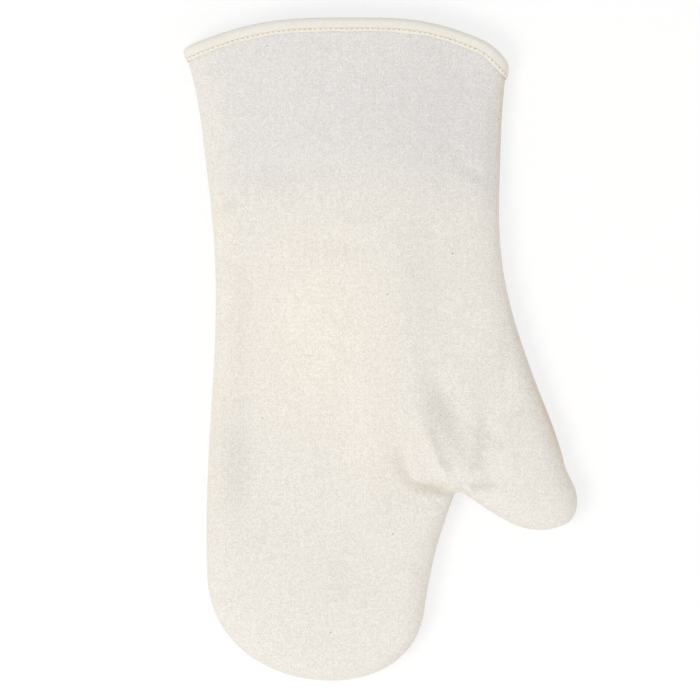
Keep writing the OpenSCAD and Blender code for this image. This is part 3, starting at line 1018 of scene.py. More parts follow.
def close_layer(outer: Array, inner: Array, flat: Array, up: bool) -> Shape:
    """A layer of cloth between two laid surfaces, closed at its rim and at the palm.

    Args:
        outer: rings by points by three, the surface that faces out.
        inner: the same for the surface that faces in.
        flat: the flat pattern, rings by points by two.
        up: whether the outer surface faces up.

    Returns:
        The closed shape.
    """
    rings, around = outer.shape[:2]
    size = rings * around + 1
    quads, fan, k = grid_quads(rings, around), palm_fan(rings, around), np.arange(around)
    rim = np.stack([k, k + size, (k + 1) % around + size, (k + 1) % around], axis=1)
    plane = with_palm(flat)
    shape = Shape(
        np.concatenate([with_palm(outer), with_palm(inner)]),
        np.concatenate([quads, quads[:, ::-1] + size, rim]),
        np.concatenate([fan, fan[:, ::-1] + size]),
        np.concatenate([plane, plane]),
    )
    return shape if up else shape.flipped()


@dataclass(frozen=True)
class Maker:
    """Turns shapes into objects of the frame."""

    origin: Array

    def build(self, name: str, shape: Shape, material: bpy.types.Material, slot: str,
              *nodes: str) -> bpy.types.Object:
        """Makes an object of a shape, dresses it and lets it stand for CAD nodes.

        Args:
            name: the object's name.
            shape: what to make, in millimetres on the card.
            material: its finish.
            slot: not used.
            nodes: the CAD nodes that it stands for.

        Returns:
            The new object, riding on the frame's only body.
        """
        points = shape.points.copy()
        points[:, :2] -= self.origin
        mesh = bpy.data.meshes.new(name)
        counts = np.concatenate([np.full(len(shape.quads), 4), np.full(len(shape.triangles), 3)])
        corners = np.concatenate([shape.quads.ravel(), shape.triangles.ravel()]).astype(np.int32)
        mesh.vertices.add(len(points))
        mesh.vertices.foreach_set("co", (points * MM).astype(np.float32).ravel())
        mesh.loops.add(len(corners))
        mesh.loops.foreach_set("vertex_index", corners)
        mesh.polygons.add(len(counts))
        starts = np.concatenate([[0], np.cumsum(counts)[:-1]]).astype(np.int32)
        mesh.polygons.foreach_set("loop_start", starts)
        mesh.update(calc_edges=True)
        mesh.validate()
        mesh.shade_smooth()
        if shape.flat is not None:
            layer = mesh.uv_layers.new(name="flat")
            layer.data.foreach_set("uv", (shape.flat[corners] * MM).astype(np.float32).ravel())
        for key, value in shape.values.items():
            kind, item = ("FLOAT", "value") if value.ndim == 1 else ("FLOAT_COLOR", "color")
            attribute = mesh.attributes.new(key, kind, "POINT")
            attribute.data.foreach_set(item, value.astype(np.float32).ravel())
        mesh.materials.append(material)
        piece = bpy.data.objects.new(name, mesh)
        bpy.context.scene.collection.objects.link(piece)
        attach(piece, "root")
        if nodes:
            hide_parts(*nodes)
        LOG.info("%s: %d points, %d faces", name, len(points), len(counts))
        return piece


# ---------------------------------------------------------------- the two sides


@dataclass(frozen=True)
class Panel:
    """One side of the mitt: canvas, batting and lining, cut alike and sewn round."""

    surface: Surface
    fine: Weaver
    plain: Weaver
    painted_shading: PaintedShading = field(default_factory=PaintedShading)

    @property
    def up(self) -> bool:
        """Whether the panel faces up."""
        return self.surface.side is Side.UPPER

    def layer(self, outer: Level, inner: Level, weaver: Weaver) -> Shape:
        """A closed layer between two surfaces, with its flat pattern.

        Args:
            outer: the surface that faces out.
            inner: the surface that faces the hand.
            weaver: what lays both.

        Returns:
            The closed shape.
        """
        sheets = []
        for level in (outer, inner):
            weft = weaver.lay(self.surface.side, level)
            sheets.append((weft, self.surface.points(level, weft)))
        flat = self.surface.pattern(sheets[0][0])
        return close_layer(sheets[0][1], sheets[1][1], flat, self.up)

    def canvas(self) -> Shape:
        """The woven outside, with its painted light and shade.

        Returns:
            The closed layer, with its `painted_shading`.
        """
        shape = self.layer(Level.CANVAS_OUT, Level.CANVAS_IN, self.fine)
        place, card = shape.points[:, :2], self.surface.card
        # painted light and shade; the lower side gets no painted rim shadows
        painted_shading = self.painted_shading if self.up else replace(self.painted_shading, painted_rim_shades=())
        shape.values["painted_shading"] = painted_shading.colour(place, card.depth(place), card.by_seam(place).far)
        return shape

    def batting(self) -> Shape:
        """The padding."""
        return self.layer(Level.BATTING_OUT, Level.BATTING_IN, self.plain)

    def lining(self) -> Shape:
        """The cloth next to the hand."""
        return self.layer(Level.LINING_OUT, Level.LINING_IN, self.plain)


def cut_size(shape: Shape) -> tuple[tuple[float, float], float]:
    """Width, length and area of a layer's flat pattern, in metres.

    The area is half the sum of the cross products of the faces of one surface.

    Args:
        shape: the layer.

    Returns:
        Width and length, and the area.
    """
    flat, half = shape.flat * MM, len(shape.points) // 2
    spread = np.ptp(flat, axis=0)
    quads = shape.quads[(shape.quads < half).all(1)]
    a, b, c, d = (flat[quads[:, k]] for k in range(4))
    one, two = c - a, d - b
    area = 0.5 * np.abs(one[:, 0] * two[:, 1] - one[:, 1] * two[:, 0]).sum()
    return (float(spread[0]), float(spread[1])), float(min(area, 0.999 * spread.prod()))


@dataclass(frozen=True)
class Loosening:
    """Lets a coarse copy of a side's canvas out over its padding, held at its seam."""

    weaver: Weaver
    growth: float = 0.004
    pressure: float = 0.35
    cap: float = 1.5
    frames: int = 20
    cuff_held: float = 9.0
    quality: int = 8
    mass: float = 0.15
    stretch_stiffness: float = 12.0
    shear_stiffness: float = 6.0
    bending_stiffness: float = 0.6

    def settle(self, surface: Surface) -> Settle:
        """Runs the cloth on the coarse copy and keeps how far it moved.

        Args:
            surface: the side that is let out.

        Returns:
            The movement on the coarse weft, held under the cap.
        """
        weft = self.weaver.lay(surface.side, Level.CANVAS_OUT)
        points = surface.points(Level.CANVAS_OUT, weft)
        rings, around = points.shape[:2]
        all_points = with_palm(points) * MM
        quads, fan = grid_quads(rings, around), palm_fan(rings, around)
        if surface.side is Side.LOWER:
            quads, fan = quads[:, ::-1], fan[:, ::-1]
        mesh = bpy.data.meshes.new("loose")
        mesh.from_pydata(all_points.tolist(), [], quads.tolist() + fan.tolist())
        cloth = bpy.data.objects.new("loose", mesh)
        bpy.context.scene.collection.objects.link(cloth)
        held = cloth.vertex_groups.new(name="held")
        cuff = (weft.turn > 1) | (np.arange(around) == 0)
        still = (weft.depth < self.cuff_held) & cuff
        still[0] = True
        held.add(np.flatnonzero(still.ravel()).tolist(), 1.0, "REPLACE")
        modifier = cloth.modifiers.new("cloth", "CLOTH")
        let = modifier.settings
        let.quality, let.mass = self.quality, self.mass
        let.tension_stiffness = let.compression_stiffness = self.stretch_stiffness
        let.shear_stiffness = self.shear_stiffness
        let.bending_stiffness = self.bending_stiffness
        let.use_pressure, let.uniform_pressure_force = True, self.pressure
        let.shrink_min = let.shrink_max = -self.growth
        let.vertex_group_mass = "held"
        let.effector_weights.gravity = 0.0
        modifier.collision_settings.use_collision = False
        scene = bpy.context.scene
        for frame in range(1, self.frames + 1):
            scene.frame_set(frame)
        shown = cloth.evaluated_get(bpy.context.evaluated_depsgraph_get())
        after = np.empty(len(all_points) * 3, np.float32)
        shown.data.vertices.foreach_get("co", after)
        moved = (after.reshape(-1, 3)[:-1] / MM - points.reshape(-1, 3)).reshape(points.shape)
        bpy.data.objects.remove(cloth)
        bpy.data.meshes.remove(mesh)
        scene.frame_set(1)
        far = np.linalg.norm(moved, axis=2, keepdims=True)
        LOG.info("the cloth moved %.2f mm on average, %.2f at most", far.mean(), far.max())
        moved = moved * self.cap / (self.cap + far)
        return Settle(weft.xy.reshape(-1, 2), moved.reshape(-1, 3))


# ---------------------------------------------------------------- the bound mouth


@dataclass(frozen=True)
class Mouth:
    """The edge of the cuff, once round: along the upper side to the right and back below."""

    card: Card
    stack: Stack
    pitch: float = 0.55

    def row(self, side: Side, across: float, under: float, v: float) -> Array:
        """A row along one side's cuff, from left to right.

        Args:
            side: the upper or lower side.
            across: how far it is set in across the seam.
            under: how far it is set in, in height.
            v: depth of its line below the cuff's edge.

        Returns:
            Points of the row: rounded up from both seams, and level between them.
        """
        card, stack = self.card, self.stack
        roll, line = stack.roll(side), card.cuff_line(v)
        angles = np.linspace(0, np.pi / 2, int(roll * 1.5 / self.pitch))
        inset = across + (roll - across) * (1 - np.cos(angles))
        left, right = card.meet(line, inset, False), card.meet(line, inset, True)
        steps = int((card.cuff_width - 2 * roll) / self.pitch)
        x = np.linspace(left[-1, 0], right[-1, 0], steps + 1)[1:-1]
        middle = np.stack([x, np.interp(x, line[:, 0], line[:, 1])], axis=1)
        xy = np.concatenate([left, middle, right[::-1]])
        bent = stack.arch(side, 1 - np.cos(angles))
        arch = np.concatenate([bent, np.ones(len(x)), bent[::-1]])
        c = card.depth(xy)
        height = arch * (stack.rise(side, c) - under)
        if side is Side.UPPER:
            inwards = ease((card.by_seam(xy).far - roll) / stack.crown_run)
            height += stack.crown * inwards * (arch == 1)
        z = stack.seam_z(c) + side.value * (stack.gap / 2 + height)
        return np.concatenate([xy, z[:, None]], axis=1)

    def loop(self, across: float, under: float, v: float) -> Array:
        """A closed loop round the mouth: the upper row, then the lower row back.

        Args:
            across: how far it is set in across the seam.
            under: how far it is set in, in height.
            v: depth of its line below the cuff's edge.

        Returns:
            Points of the loop.
        """
        up = self.row(Side.UPPER, across, under, v)
        down = self.row(Side.LOWER, across, under, v)
        ends = (up[[0, -1]] + down[[0, -1]]) / 2
        up[[0, -1]] = ends
        return np.concatenate([up, down[-2:0:-1]])

    def inside(self) -> tuple[float, float]:
        """How far the lining's inner face is set in at the cuff, across and in height."""
        c = np.zeros(1)
        return Level.LINING_IN.across(self.stack), float(Level.LINING_IN.under(self.stack, c)[0])


def frames_along(path: Array, aside: Array) -> tuple[Array, Array, Array]:
    """Length, outward normal and side direction along a closed path.

    Args:
        path: points of the path.
        aside: a point to the outside of each.

    Returns:
        Length up to each point, and two unit vectors each.
    """
    ahead = unit(np.roll(path, -1, 0) - np.roll(path, 1, 0))
    out = aside - path
    out = unit(out - (out * ahead).sum(1, keepdims=True) * ahead)
    return lengths(path), out, np.cross(ahead, out)


@dataclass(frozen=True)
class CuffBinding:
    """A strip folded over the cuff's edge and sewn through near its own edge."""

    mouth: Mouth
    puff: float = 0.22
    draw: float = 0.05
    hole: float = 0.3
    hole_spread: float = 0.13
    cushion: float = 0.03
    turned_in: float = 9.0
    edge_wave: float = 0.16
    edge_waves: tuple[int, ...] = (9, 14, 23, 37)
    fold: float = 2.1
    stitch_pitch: float = 3.0
    stitch_length: float = 2.1
    under_rows: int = 8
    seed: int = 3

    def profile(self) -> Array:
        """Section of the strip: share of the way inside, depth, puff and side, per point.

        From its outer edge it runs up to the fold, round half an ellipse, down inside, and
        back along its under side. The puff is a half sine from fold to stitches; the
        stitches draw it in by a bell curve, and the free edge beyond them thins to nothing.

        Returns:
            One row per point of the section.
        """
        width, stitch = self.mouth.stack.binding_width, self.mouth.stack.stitch_depth
        free = np.array([0.0, 0.1, 0.3, 0.7, 1.2])
        down = np.concatenate([width - free, np.linspace(width - 1.4, stitch - 0.9, 6),
                               np.linspace(stitch - 1.4, self.fold, 5)])
        rounded = np.array([-0.95, -0.68, -0.46, -0.2, -0.04])
        body = self.puff * np.sin(np.pi * np.clip(down / stitch, 0, 1)) ** 0.9
        body -= self.draw * np.exp(-(((down - stitch) / 0.55) ** 2))
        body[:5] += rounded
        theta = np.linspace(0, np.pi, 13)[1:-1]
        over = np.stack([(1 - np.cos(theta)) / 2, self.fold * (1 - np.sin(theta)),
                         np.zeros(11), np.zeros(11)], axis=1)
        outer = np.stack([np.zeros(16), down, body, -np.ones(16)], axis=1)
        inner = np.stack([np.ones(16), down, body, np.ones(16)], axis=1)[::-1]
        return np.concatenate([outer, over, inner])

    def stitches(self, run: Array) -> int:
        """How many stitches the loop holds."""
        return int(run[-1] // self.stitch_pitch)

    def from_stitch(self, run: Array) -> Array:
        """Distance of each length along the loop from its nearest stitch's middle."""
        pitch = run[-1] / self.stitches(run)
        return (run + pitch / 2) % pitch - pitch / 2

    def shape(self) -> Shape:
        """The strip: its section carried round the mouth, pulled in at each needle hole.

        Returns:
            The closed strip, with its `hole` marks, which carry the painted shade of the needle
            holes.
        """
        stack, mouth = self.mouth.stack, self.mouth
        inside, stitch = mouth.inside(), stack.stitch_depth
        sheet = self.profile()
        run = lengths(mouth.loop(-stack.lap, -stack.lap, stitch))
        near = self.from_stitch(run)
        rng = np.random.default_rng(self.seed)
        wave = sum(rng.uniform(0.5, 1) * np.sin(2 * np.pi * run * n / run[-1] + rng.uniform(0, 6))
                   for n in self.edge_waves)
        cushion = self.cushion * np.cos(2 * np.pi * near / self.stitch_pitch)
        loops, shaded_holes = [], []
        for share, v, body, side in sheet:
            across = mix(-stack.lap, inside[0] + stack.lap, share)
            under = mix(-stack.lap, inside[1] + stack.lap, share)
            place, dip = mouth.loop(across, under, v), np.zeros_like(near)
            if side:
                dip = np.exp(-(((np.abs(near) - self.stitch_length / 2) ** 2
                                + (v - stitch) ** 2) / self.hole_spread))
                puff = body - self.hole * dip - cushion * math.exp(-((v - stitch) ** 2) / 2)
                out = unit(mouth.loop(across + side, under + side, v) - place)
                place = place + out * puff[:, None]
            loops.append(place)
            shaded_holes.append(dip)
        loops, shaded_holes = np.array(loops), np.array(shaded_holes)
        free = np.clip((sheet[:, 1] - stitch) / stack.stitch_inset, 0, 1) * (sheet[:, 3] != 0)
        along = unit(loops[0] - loops[9])
        loops += (free[:, None] * self.edge_wave * wave[None])[..., None] * along[None]
        under_v = np.linspace(0, 1, self.under_rows)
        wide, top = stack.binding_width - 0.15, stack.binding + 0.1
        under = [mouth.loop(inside[0] + stack.gap, inside[1] + stack.gap, mix(wide, top, t))
                 for t in under_v]
        over = [mouth.loop(-stack.gap, -stack.gap, mix(top, wide, t)) for t in under_v]
        grid = np.concatenate([loops, np.array(under), np.array(over)])
        rows, columns = grid.shape[:2]
        arc = np.concatenate([[0], np.cumsum(np.linalg.norm(np.diff(grid, axis=0), axis=2)
                                             .mean(1))])
        flat = np.stack(np.broadcast_arrays(run[None], arc[:, None]), axis=2)
        # the hole marks carry the painted shade of the needle holes
        hole = np.concatenate([shaded_holes, np.zeros((2 * self.under_rows, columns))])
        return Shape(grid.reshape(-1, 3), grid_quads(rows, columns, wrap_rows=True),
                     flat=flat.reshape(-1, 2), values={"hole": hole.ravel()})


@dataclass(frozen=True)
class StitchRow:
    """A row of lockstitches through the binding, on one of its faces."""

    binding: CuffBinding
    outer: bool
    radius: float = 0.38
    wide: float = 1.1
    flat: float = 0.75
    proud: float = 0.1
    dive: float = 0.46
    thinning: float = 0.72
    off_seat: float = 0.08
    tilt: float = 0.1
    rings: int = 9
    sides: int = 6

    def shape(self) -> Shape:
        """All stitches of the row at once.

        A stitch runs along the binding at w from -1 to 1 over its length. Its middle line
        stands proud by proud - dive |w|^3.5, and its radius thins towards both ends.

        Returns:
            The closed stitches, one after another.
        """
        mouth, stack = self.binding.mouth, self.binding.mouth.stack
        inside = mouth.inside()
        sign = -1.0 if self.outer else 1.0
        across = -stack.lap if self.outer else inside[0] + stack.lap
        under = -stack.lap if self.outer else inside[1] + stack.lap
        path = mouth.loop(across, under, stack.stitch_depth)
        aside = mouth.loop(across + sign, under + sign, stack.stitch_depth)
        run, out, flank = frames_along(path, aside)
        count, half = self.binding.stitches(run), self.binding.stitch_length / 2
        rng = np.random.default_rng(5 if self.outer else 6)
        seat = np.arange(count) * run[-1] / count
        seat = seat + rng.uniform(-self.off_seat, self.off_seat, count)
        w = np.linspace(-1, 1, self.rings)
        where = (seat[:, None] + w[None] * half) % run[-1]
        middle, up, sideways = (
            np.stack([np.interp(where, run, a[:, k]) for k in range(3)], axis=-1)
            for a in (path, out, flank)
        )
        proud = self.proud - self.dive * np.abs(w) ** 3.5
        tilt = rng.uniform(-self.tilt, self.tilt, (count, 1)) * w[None]
        middle = middle + up * proud[None, :, None] + sideways * tilt[..., None]
        r = self.radius * np.sqrt(np.clip(1 - self.thinning * w**6, 0.05, 1))
        a = np.arange(self.sides) / self.sides * 2 * np.pi
        ring = (np.cos(a)[:, None] * up[:, :, None] * self.flat + np.sin(a)[:, None]
                * sideways[:, :, None] * self.wide)
        points = middle[:, :, None] + r[None, :, None, None] * ring
        size = self.rings * self.sides
        quads = grid_quads(self.rings, self.sides)
        caps = np.array([[0, 5, 4, 3], [0, 3, 2, 1]])
        end = (self.rings - 1) * self.sides
        caps = np.concatenate([caps, caps[:, ::-1] + end])
        whole = np.concatenate([quads[:, ::-1], caps[:, ::-1]])
        faces = (whole[None] + size * np.arange(count)[:, None, None]).reshape(-1, 4)
        flat = np.stack(np.broadcast_arrays(w[None, :, None] * half + seat[:, None, None],
                                            (a * self.radius)[None, None]), axis=-1)
        return Shape(points.reshape(-1, 3), faces, flat=flat.reshape(-1, 2))


@dataclass(frozen=True)
class SeamThread:
    """The thread that holds two layers together all round the hand, locked at every stitch."""

    weaver: Weaver
    inset: float
    stitch: float = 3.0
    lock: float = 0.14
    end: float = 0.15
    pitch: float = 0.75
    hand_from: float = 13.0
    sides: int = 8

    def shape(self) -> Shape:
        """A tube along the seam, thinner where each stitch locks, with rounded ends.

        Its radius is r times 1 - lock + lock cos(2 pi s / stitch), and small at its ends.

        Returns:
            The closed tube.
        """
        card, stack = self.weaver.card, self.weaver.stack
        edge = stack.binding + 2 * stack.gap
        depths = np.linspace(edge + stack.thread, 11.0, 8)
        ends = [np.array([card.meet(card.cuff_line(v), self.inset, right) for v in depths])
                for right in (False, True)]
        hand = self.weaver.on_rays(self.inset)
        hand = hand[card.depth(hand) > self.hand_from]
        line = np.concatenate([ends[0], hand, ends[1][::-1]])
        run = np.arange(0, lengths(line)[-1], self.pitch)
        xy = at_length(line, run)
        z = stack.seam_z(card.depth(xy))
        ahead = unit(np.gradient(xy, axis=0))
        flank = np.stack([-ahead[:, 1], ahead[:, 0]], axis=1)
        a = np.arange(self.sides) / self.sides * 2 * np.pi
        r = stack.thread / 2 * (1 - self.lock + self.lock
                                * np.cos(2 * np.pi * run / self.stitch))
        r[[0, -1]] *= self.end
        points = np.empty((len(run), self.sides, 3))
        points[..., :2] = xy[:, None] + (r[:, None] * np.cos(a))[..., None] * flank[:, None]
        points[..., 2] = z[:, None] + r[:, None] * np.sin(a)
        quads = grid_quads(len(run), self.sides)
        caps = np.array([[0, 1, 2, 3], [0, 3, 4, 5], [0, 5, 6, 7]])
        last = (len(run) - 1) * self.sides
        faces = np.concatenate([quads, caps[:, ::-1], caps + last])
        flat = np.stack(np.broadcast_arrays(run[:, None], a[None] * stack.thread / 2), axis=2)
        return Shape(points.reshape(-1, 3), faces, flat=flat.reshape(-1, 2))


# ---------------------------------------------------------------- finishes


def linear(colour: RGB) -> RGBA:
    """A display colour, 0 to 255, as linear light."""
    parts = [v / 255 for v in colour]
    return (*[v / 12.92 if v <= 0.04045 else ((v + 0.055) / 1.055) ** 2.4 for v in parts], 1.0)


@dataclass
class Graph:
    """A node tree in the making."""

    tree: bpy.types.NodeTree

    def node(self, kind: str, inputs: dict | None = None, **settings: object) -> bpy.types.Node:
        """Adds a node, with its settings, and values or links for its inputs.

        Args:
            kind: the node's type.
            inputs: values or sockets by input.
            settings: the node's own settings.

        Returns:
            The node.
        """
        made = self.tree.nodes.new(kind)
        for key, value in settings.items():
            setattr(made, key, value)
        for key, value in (inputs or {}).items():
            self.put(made.inputs[key], value)
        return made

    def put(self, socket: bpy.types.NodeSocket, value: object) -> None:
        """Links a socket to another, or sets its value.

        Args:
            socket: the input.
            value: an output socket or a plain value.
        """
        if isinstance(value, bpy.types.NodeSocket):
            self.tree.links.new(value, socket)
        else:
            socket.default_value = value

    def math(self, operation: str, *values: object, clamp: bool = False) -> bpy.types.NodeSocket:
        """A Math node's result.

        Args:
            operation: what to work out.
            values: its inputs, in order.
            clamp: whether it is held to 0 to 1.

        Returns:
            Its output.
        """
        made = self.tree.nodes.new("ShaderNodeMath")
        made.operation, made.use_clamp = operation, clamp
        for k, value in enumerate(values):
            self.put(made.inputs[k], value)
        return made.outputs[0]

    def group(self, tree: bpy.types.NodeTree, **values: object) -> bpy.types.Node:
        """Places a node group, with its values."""
        return self.node("ShaderNodeGroup", values, node_tree=tree)

    def blend(self, factor: object, a: object, b: object,
              kind: str = "MIX") -> bpy.types.NodeSocket:
        """A colour mix's result.

        Args:
            factor: share of the second colour.
            a: first colour.
            b: second colour.
            kind: how they blend.

        Returns:
            Its output.
        """
        made = self.tree.nodes.new("ShaderNodeMix")
        made.data_type, made.blend_type = "RGBA", kind
        for key, value in ((0, factor), (6, a), (7, b)):
            self.put(made.inputs[key], value)
        return made.outputs[2]

    def total(self, parts: tuple[tuple[object, float], ...]) -> bpy.types.NodeSocket:
        """Sum of values, each times its weight.

        Args:
            parts: values with their weights.

        Returns:
            The last output.
        """
        made = self.math("MULTIPLY", *parts[0])
        for value, weight in parts[1:]:
            made = self.math("MULTIPLY_ADD", value, weight, made)
        return made

    def ramp(self, value: object, low: float, high: float) -> bpy.types.NodeSocket:
        """Smooth step of a value between two limits."""
        made = self.node("ShaderNodeMapRange", {"Value": value, "From Min": low, "From Max": high},
                         interpolation_type="SMOOTHSTEP")
        return made.outputs[0]

    def stretch(self, vector: object, x: float, y: float, z: float = 1.0,
                turn: float = 0.0) -> bpy.types.NodeSocket:
        """A vector scaled per axis and turned about Z."""
        made = self.node("ShaderNodeMapping", {"Vector": vector, "Scale": (x, y, z),
                                               "Rotation": (0, 0, turn)})
        return made.outputs[0]

    def noise(self, vector: object, scale: float, detail: float = 2.0,
              rough: float = 0.5) -> bpy.types.NodeSocket:
        """Noise between about 0 and 1."""
        made = self.node("ShaderNodeTexNoise", {"Vector": vector, "Scale": scale,
                                                "Detail": detail, "Roughness": rough})
        return made.outputs["Fac"]


def new_finish(name: str) -> tuple[bpy.types.Material, Graph, bpy.types.Node]:
    """A material, its graph and its Principled shader."""
    material = bpy.data.materials.new(name)
    material.use_nodes = True
    return material, Graph(material.node_tree), material.node_tree.nodes["Principled BSDF"]


def new_group(name: str, inputs: dict[str, tuple[str, float]],
              outputs: tuple[str, ...]) -> tuple[Graph, bpy.types.Node, bpy.types.Node]:
    """A node group with named inputs and outputs.

    Args:
        name: the group's name.
        inputs: each input's socket type and default.
        outputs: the names of its float outputs.

    Returns:
        The graph, its input node and its output node.
    """
    tree = bpy.data.node_groups.new(name, "ShaderNodeTree")
    for key, (kind, value) in inputs.items():
        socket = tree.interface.new_socket(key, in_out="INPUT", socket_type=kind)
        if kind == "NodeSocketFloat":
            socket.default_value = value
    for key in outputs:
        tree.interface.new_socket(key, in_out="OUTPUT", socket_type="NodeSocketFloat")
    graph = Graph(tree)
    return graph, graph.node("NodeGroupInput"), graph.node("NodeGroupOutput")


VECTOR = ("NodeSocketVector", 0.0)


class Effects:
    """Node groups that the cloths share."""

    def __init__(self) -> None:
        """Builds each group once."""
        self.weave = self._weave()
        self.slubs = self._slubs()
        self.flecks = self._flecks()
        self.tone = self._tone()

    @staticmethod
    def _weave() -> bpy.types.NodeTree:
        """Plain weave: s = sin(pi u) sin(pi v) says which thread is on top.

        The height is the greater of |sin(pi u)| (1 + s) / 2 and |sin(pi v)| (1 - s) / 2. Grain
        is a random value for each crossing, and Fuzz one for each tuft on it.

        Returns:
            The group.
        """
        g, got, out = new_group("Weave", {"Place": VECTOR, "Pitch": ("NodeSocketFloat", 0.0009)},
                                ("Height", "Gap", "Over", "Grain", "Fuzz"))
        sag = g.noise(got.outputs["Place"], 600.0, 1.0)
        drift = g.math("MULTIPLY", g.math("SUBTRACT", sag, 0.5), 0.7)
        split = g.node("ShaderNodeSeparateXYZ", {0: got.outputs["Place"]})
        waves, cells = [], []
        for axis in (0, 1):
            share = g.math("DIVIDE", split.outputs[axis], got.outputs["Pitch"])
            share = g.math("ADD", share, drift)
            waves.append(g.math("SINE", g.math("MULTIPLY", share, math.pi)))
            cells.append(g.math("FLOOR", share))
        s = g.math("MULTIPLY", waves[0], waves[1])
        one = g.math("MULTIPLY", g.math("ABSOLUTE", waves[0]), g.math("ADD", s, 1.0))
        two = g.math("MULTIPLY", g.math("ABSOLUTE", waves[1]), g.math("SUBTRACT", 1.0, s))
        height = g.math("MULTIPLY", g.math("MAXIMUM", one, two), 0.5)
        cell = g.node("ShaderNodeCombineXYZ", {0: cells[0], 1: cells[1]}).outputs[0]
        grain = g.node("ShaderNodeTexWhiteNoise", {"Vector": cell}, noise_dimensions="2D")
        size = g.math("MULTIPLY", got.outputs["Pitch"], 0.6)
        tuft = g.node("ShaderNodeVectorMath", {0: got.outputs["Place"], 3: g.math(
            "DIVIDE", 1.0, size)}, operation="SCALE").outputs[0]
        tuft = g.node("ShaderNodeVectorMath", {0: tuft}, operation="FLOOR").outputs[0]
        fuzz = g.node("ShaderNodeTexWhiteNoise", {"Vector": tuft}, noise_dimensions="2D")
        g.put(out.inputs["Height"], height)
        # Gap is 1 in the hollows between threads: it carries the painted shade there and the
        # roughness
        g.put(out.inputs["Gap"], g.math("SUBTRACT", 1.0, g.ramp(height, 0.0, 0.45)))
        g.put(out.inputs["Over"], g.math("ADD", g.math("MULTIPLY", s, 0.5), 0.5))
        g.put(out.inputs["Grain"], grain.outputs["Value"])
        g.put(out.inputs["Fuzz"], fuzz.outputs["Value"])
        return g.tree

    @staticmethod
    def _slubs() -> bpy.types.NodeTree:
        """Threads of uneven thickness: noise drawn out along each direction of the cloth.

        Returns:
            The group.
        """
        g, got, out = new_group("Slubs", {"Place": VECTOR, "Pitch": ("NodeSocketFloat", 0.0006)},
                                ("Warp", "Weft", "Both"))
        fine = g.math("DIVIDE", 0.55, got.outputs["Pitch"])
        parts = []
        for long, name in (((1.0, 0.035, 1.0), "Warp"), ((0.035, 1.0, 1.0), "Weft")):
            place = g.stretch(got.outputs["Place"], *long)
            made = g.node("ShaderNodeTexNoise", {"Vector": place, "Scale": fine, "Detail": 3.0,
                                                 "Roughness": 0.65})
            parts.append(g.ramp(made.outputs["Fac"], 0.28, 0.74))
            g.put(out.inputs[name], parts[-1])
        g.put(out.inputs["Both"], g.math("MULTIPLY", g.math("ADD", *parts), 0.5))
        return g.tree

    @staticmethod
    def _flecks() -> bpy.types.NodeTree:
        """Bits of seed husk: a dot near some of the cell points, its size by the cell.

        Returns:
            The group.
        """
        g, got, out = new_group(
            "Flecks", {"Place": VECTOR, "Spacing": ("NodeSocketFloat", 0.03),
                       "Size": ("NodeSocketFloat", 0.0006)}, ("Mask",))
        wobble = g.node("ShaderNodeTexNoise", {"Vector": got.outputs["Place"], "Scale": 1500.0})
        bent = g.node("ShaderNodeVectorMath", {0: wobble.outputs["Color"], "Scale": 0.0005},
                      operation="SCALE")
        place = g.node("ShaderNodeVectorMath", {0: got.outputs["Place"], 1: bent.outputs[0]},
                       operation="ADD")
        cells = g.node("ShaderNodeTexVoronoi",
                       {"Vector": place.outputs[0],
                        "Scale": g.math("DIVIDE", 1.0, got.outputs["Spacing"])},
                       voronoi_dimensions="2D")
        away = g.math("MULTIPLY", cells.outputs["Distance"], got.outputs["Spacing"])
        pick = g.node("ShaderNodeSeparateColor", {0: cells.outputs["Color"]})
        size = g.math("MULTIPLY", got.outputs["Size"], g.ramp(pick.outputs[0], 0.15, 0.95))
        edge = g.math("DIVIDE", away, g.math("ADD", size, 0.00003))
        g.put(out.inputs["Mask"], g.math("SUBTRACT", 1.0, g.ramp(edge, 0.45, 1.0)))
        return g.tree

    @staticmethod
    def _tone() -> bpy.types.NodeTree:
        """Soft uneven tone of natural cloth, in two sizes of cloud.

        Returns:
            The group.
        """
        g, got, out = new_group("Tone", {"Place": VECTOR}, ("Cloud",))
        wide = g.noise(got.outputs["Place"], 14.0, 2.0)
        small = g.noise(got.outputs["Place"], 130.0, 3.0, 0.6)
        total = g.math("ADD", g.math("MULTIPLY", wide, 0.6), g.math("MULTIPLY", small, 0.4))
        g.put(out.inputs["Cloud"], g.ramp(total, 0.3, 0.7))
        return g.tree


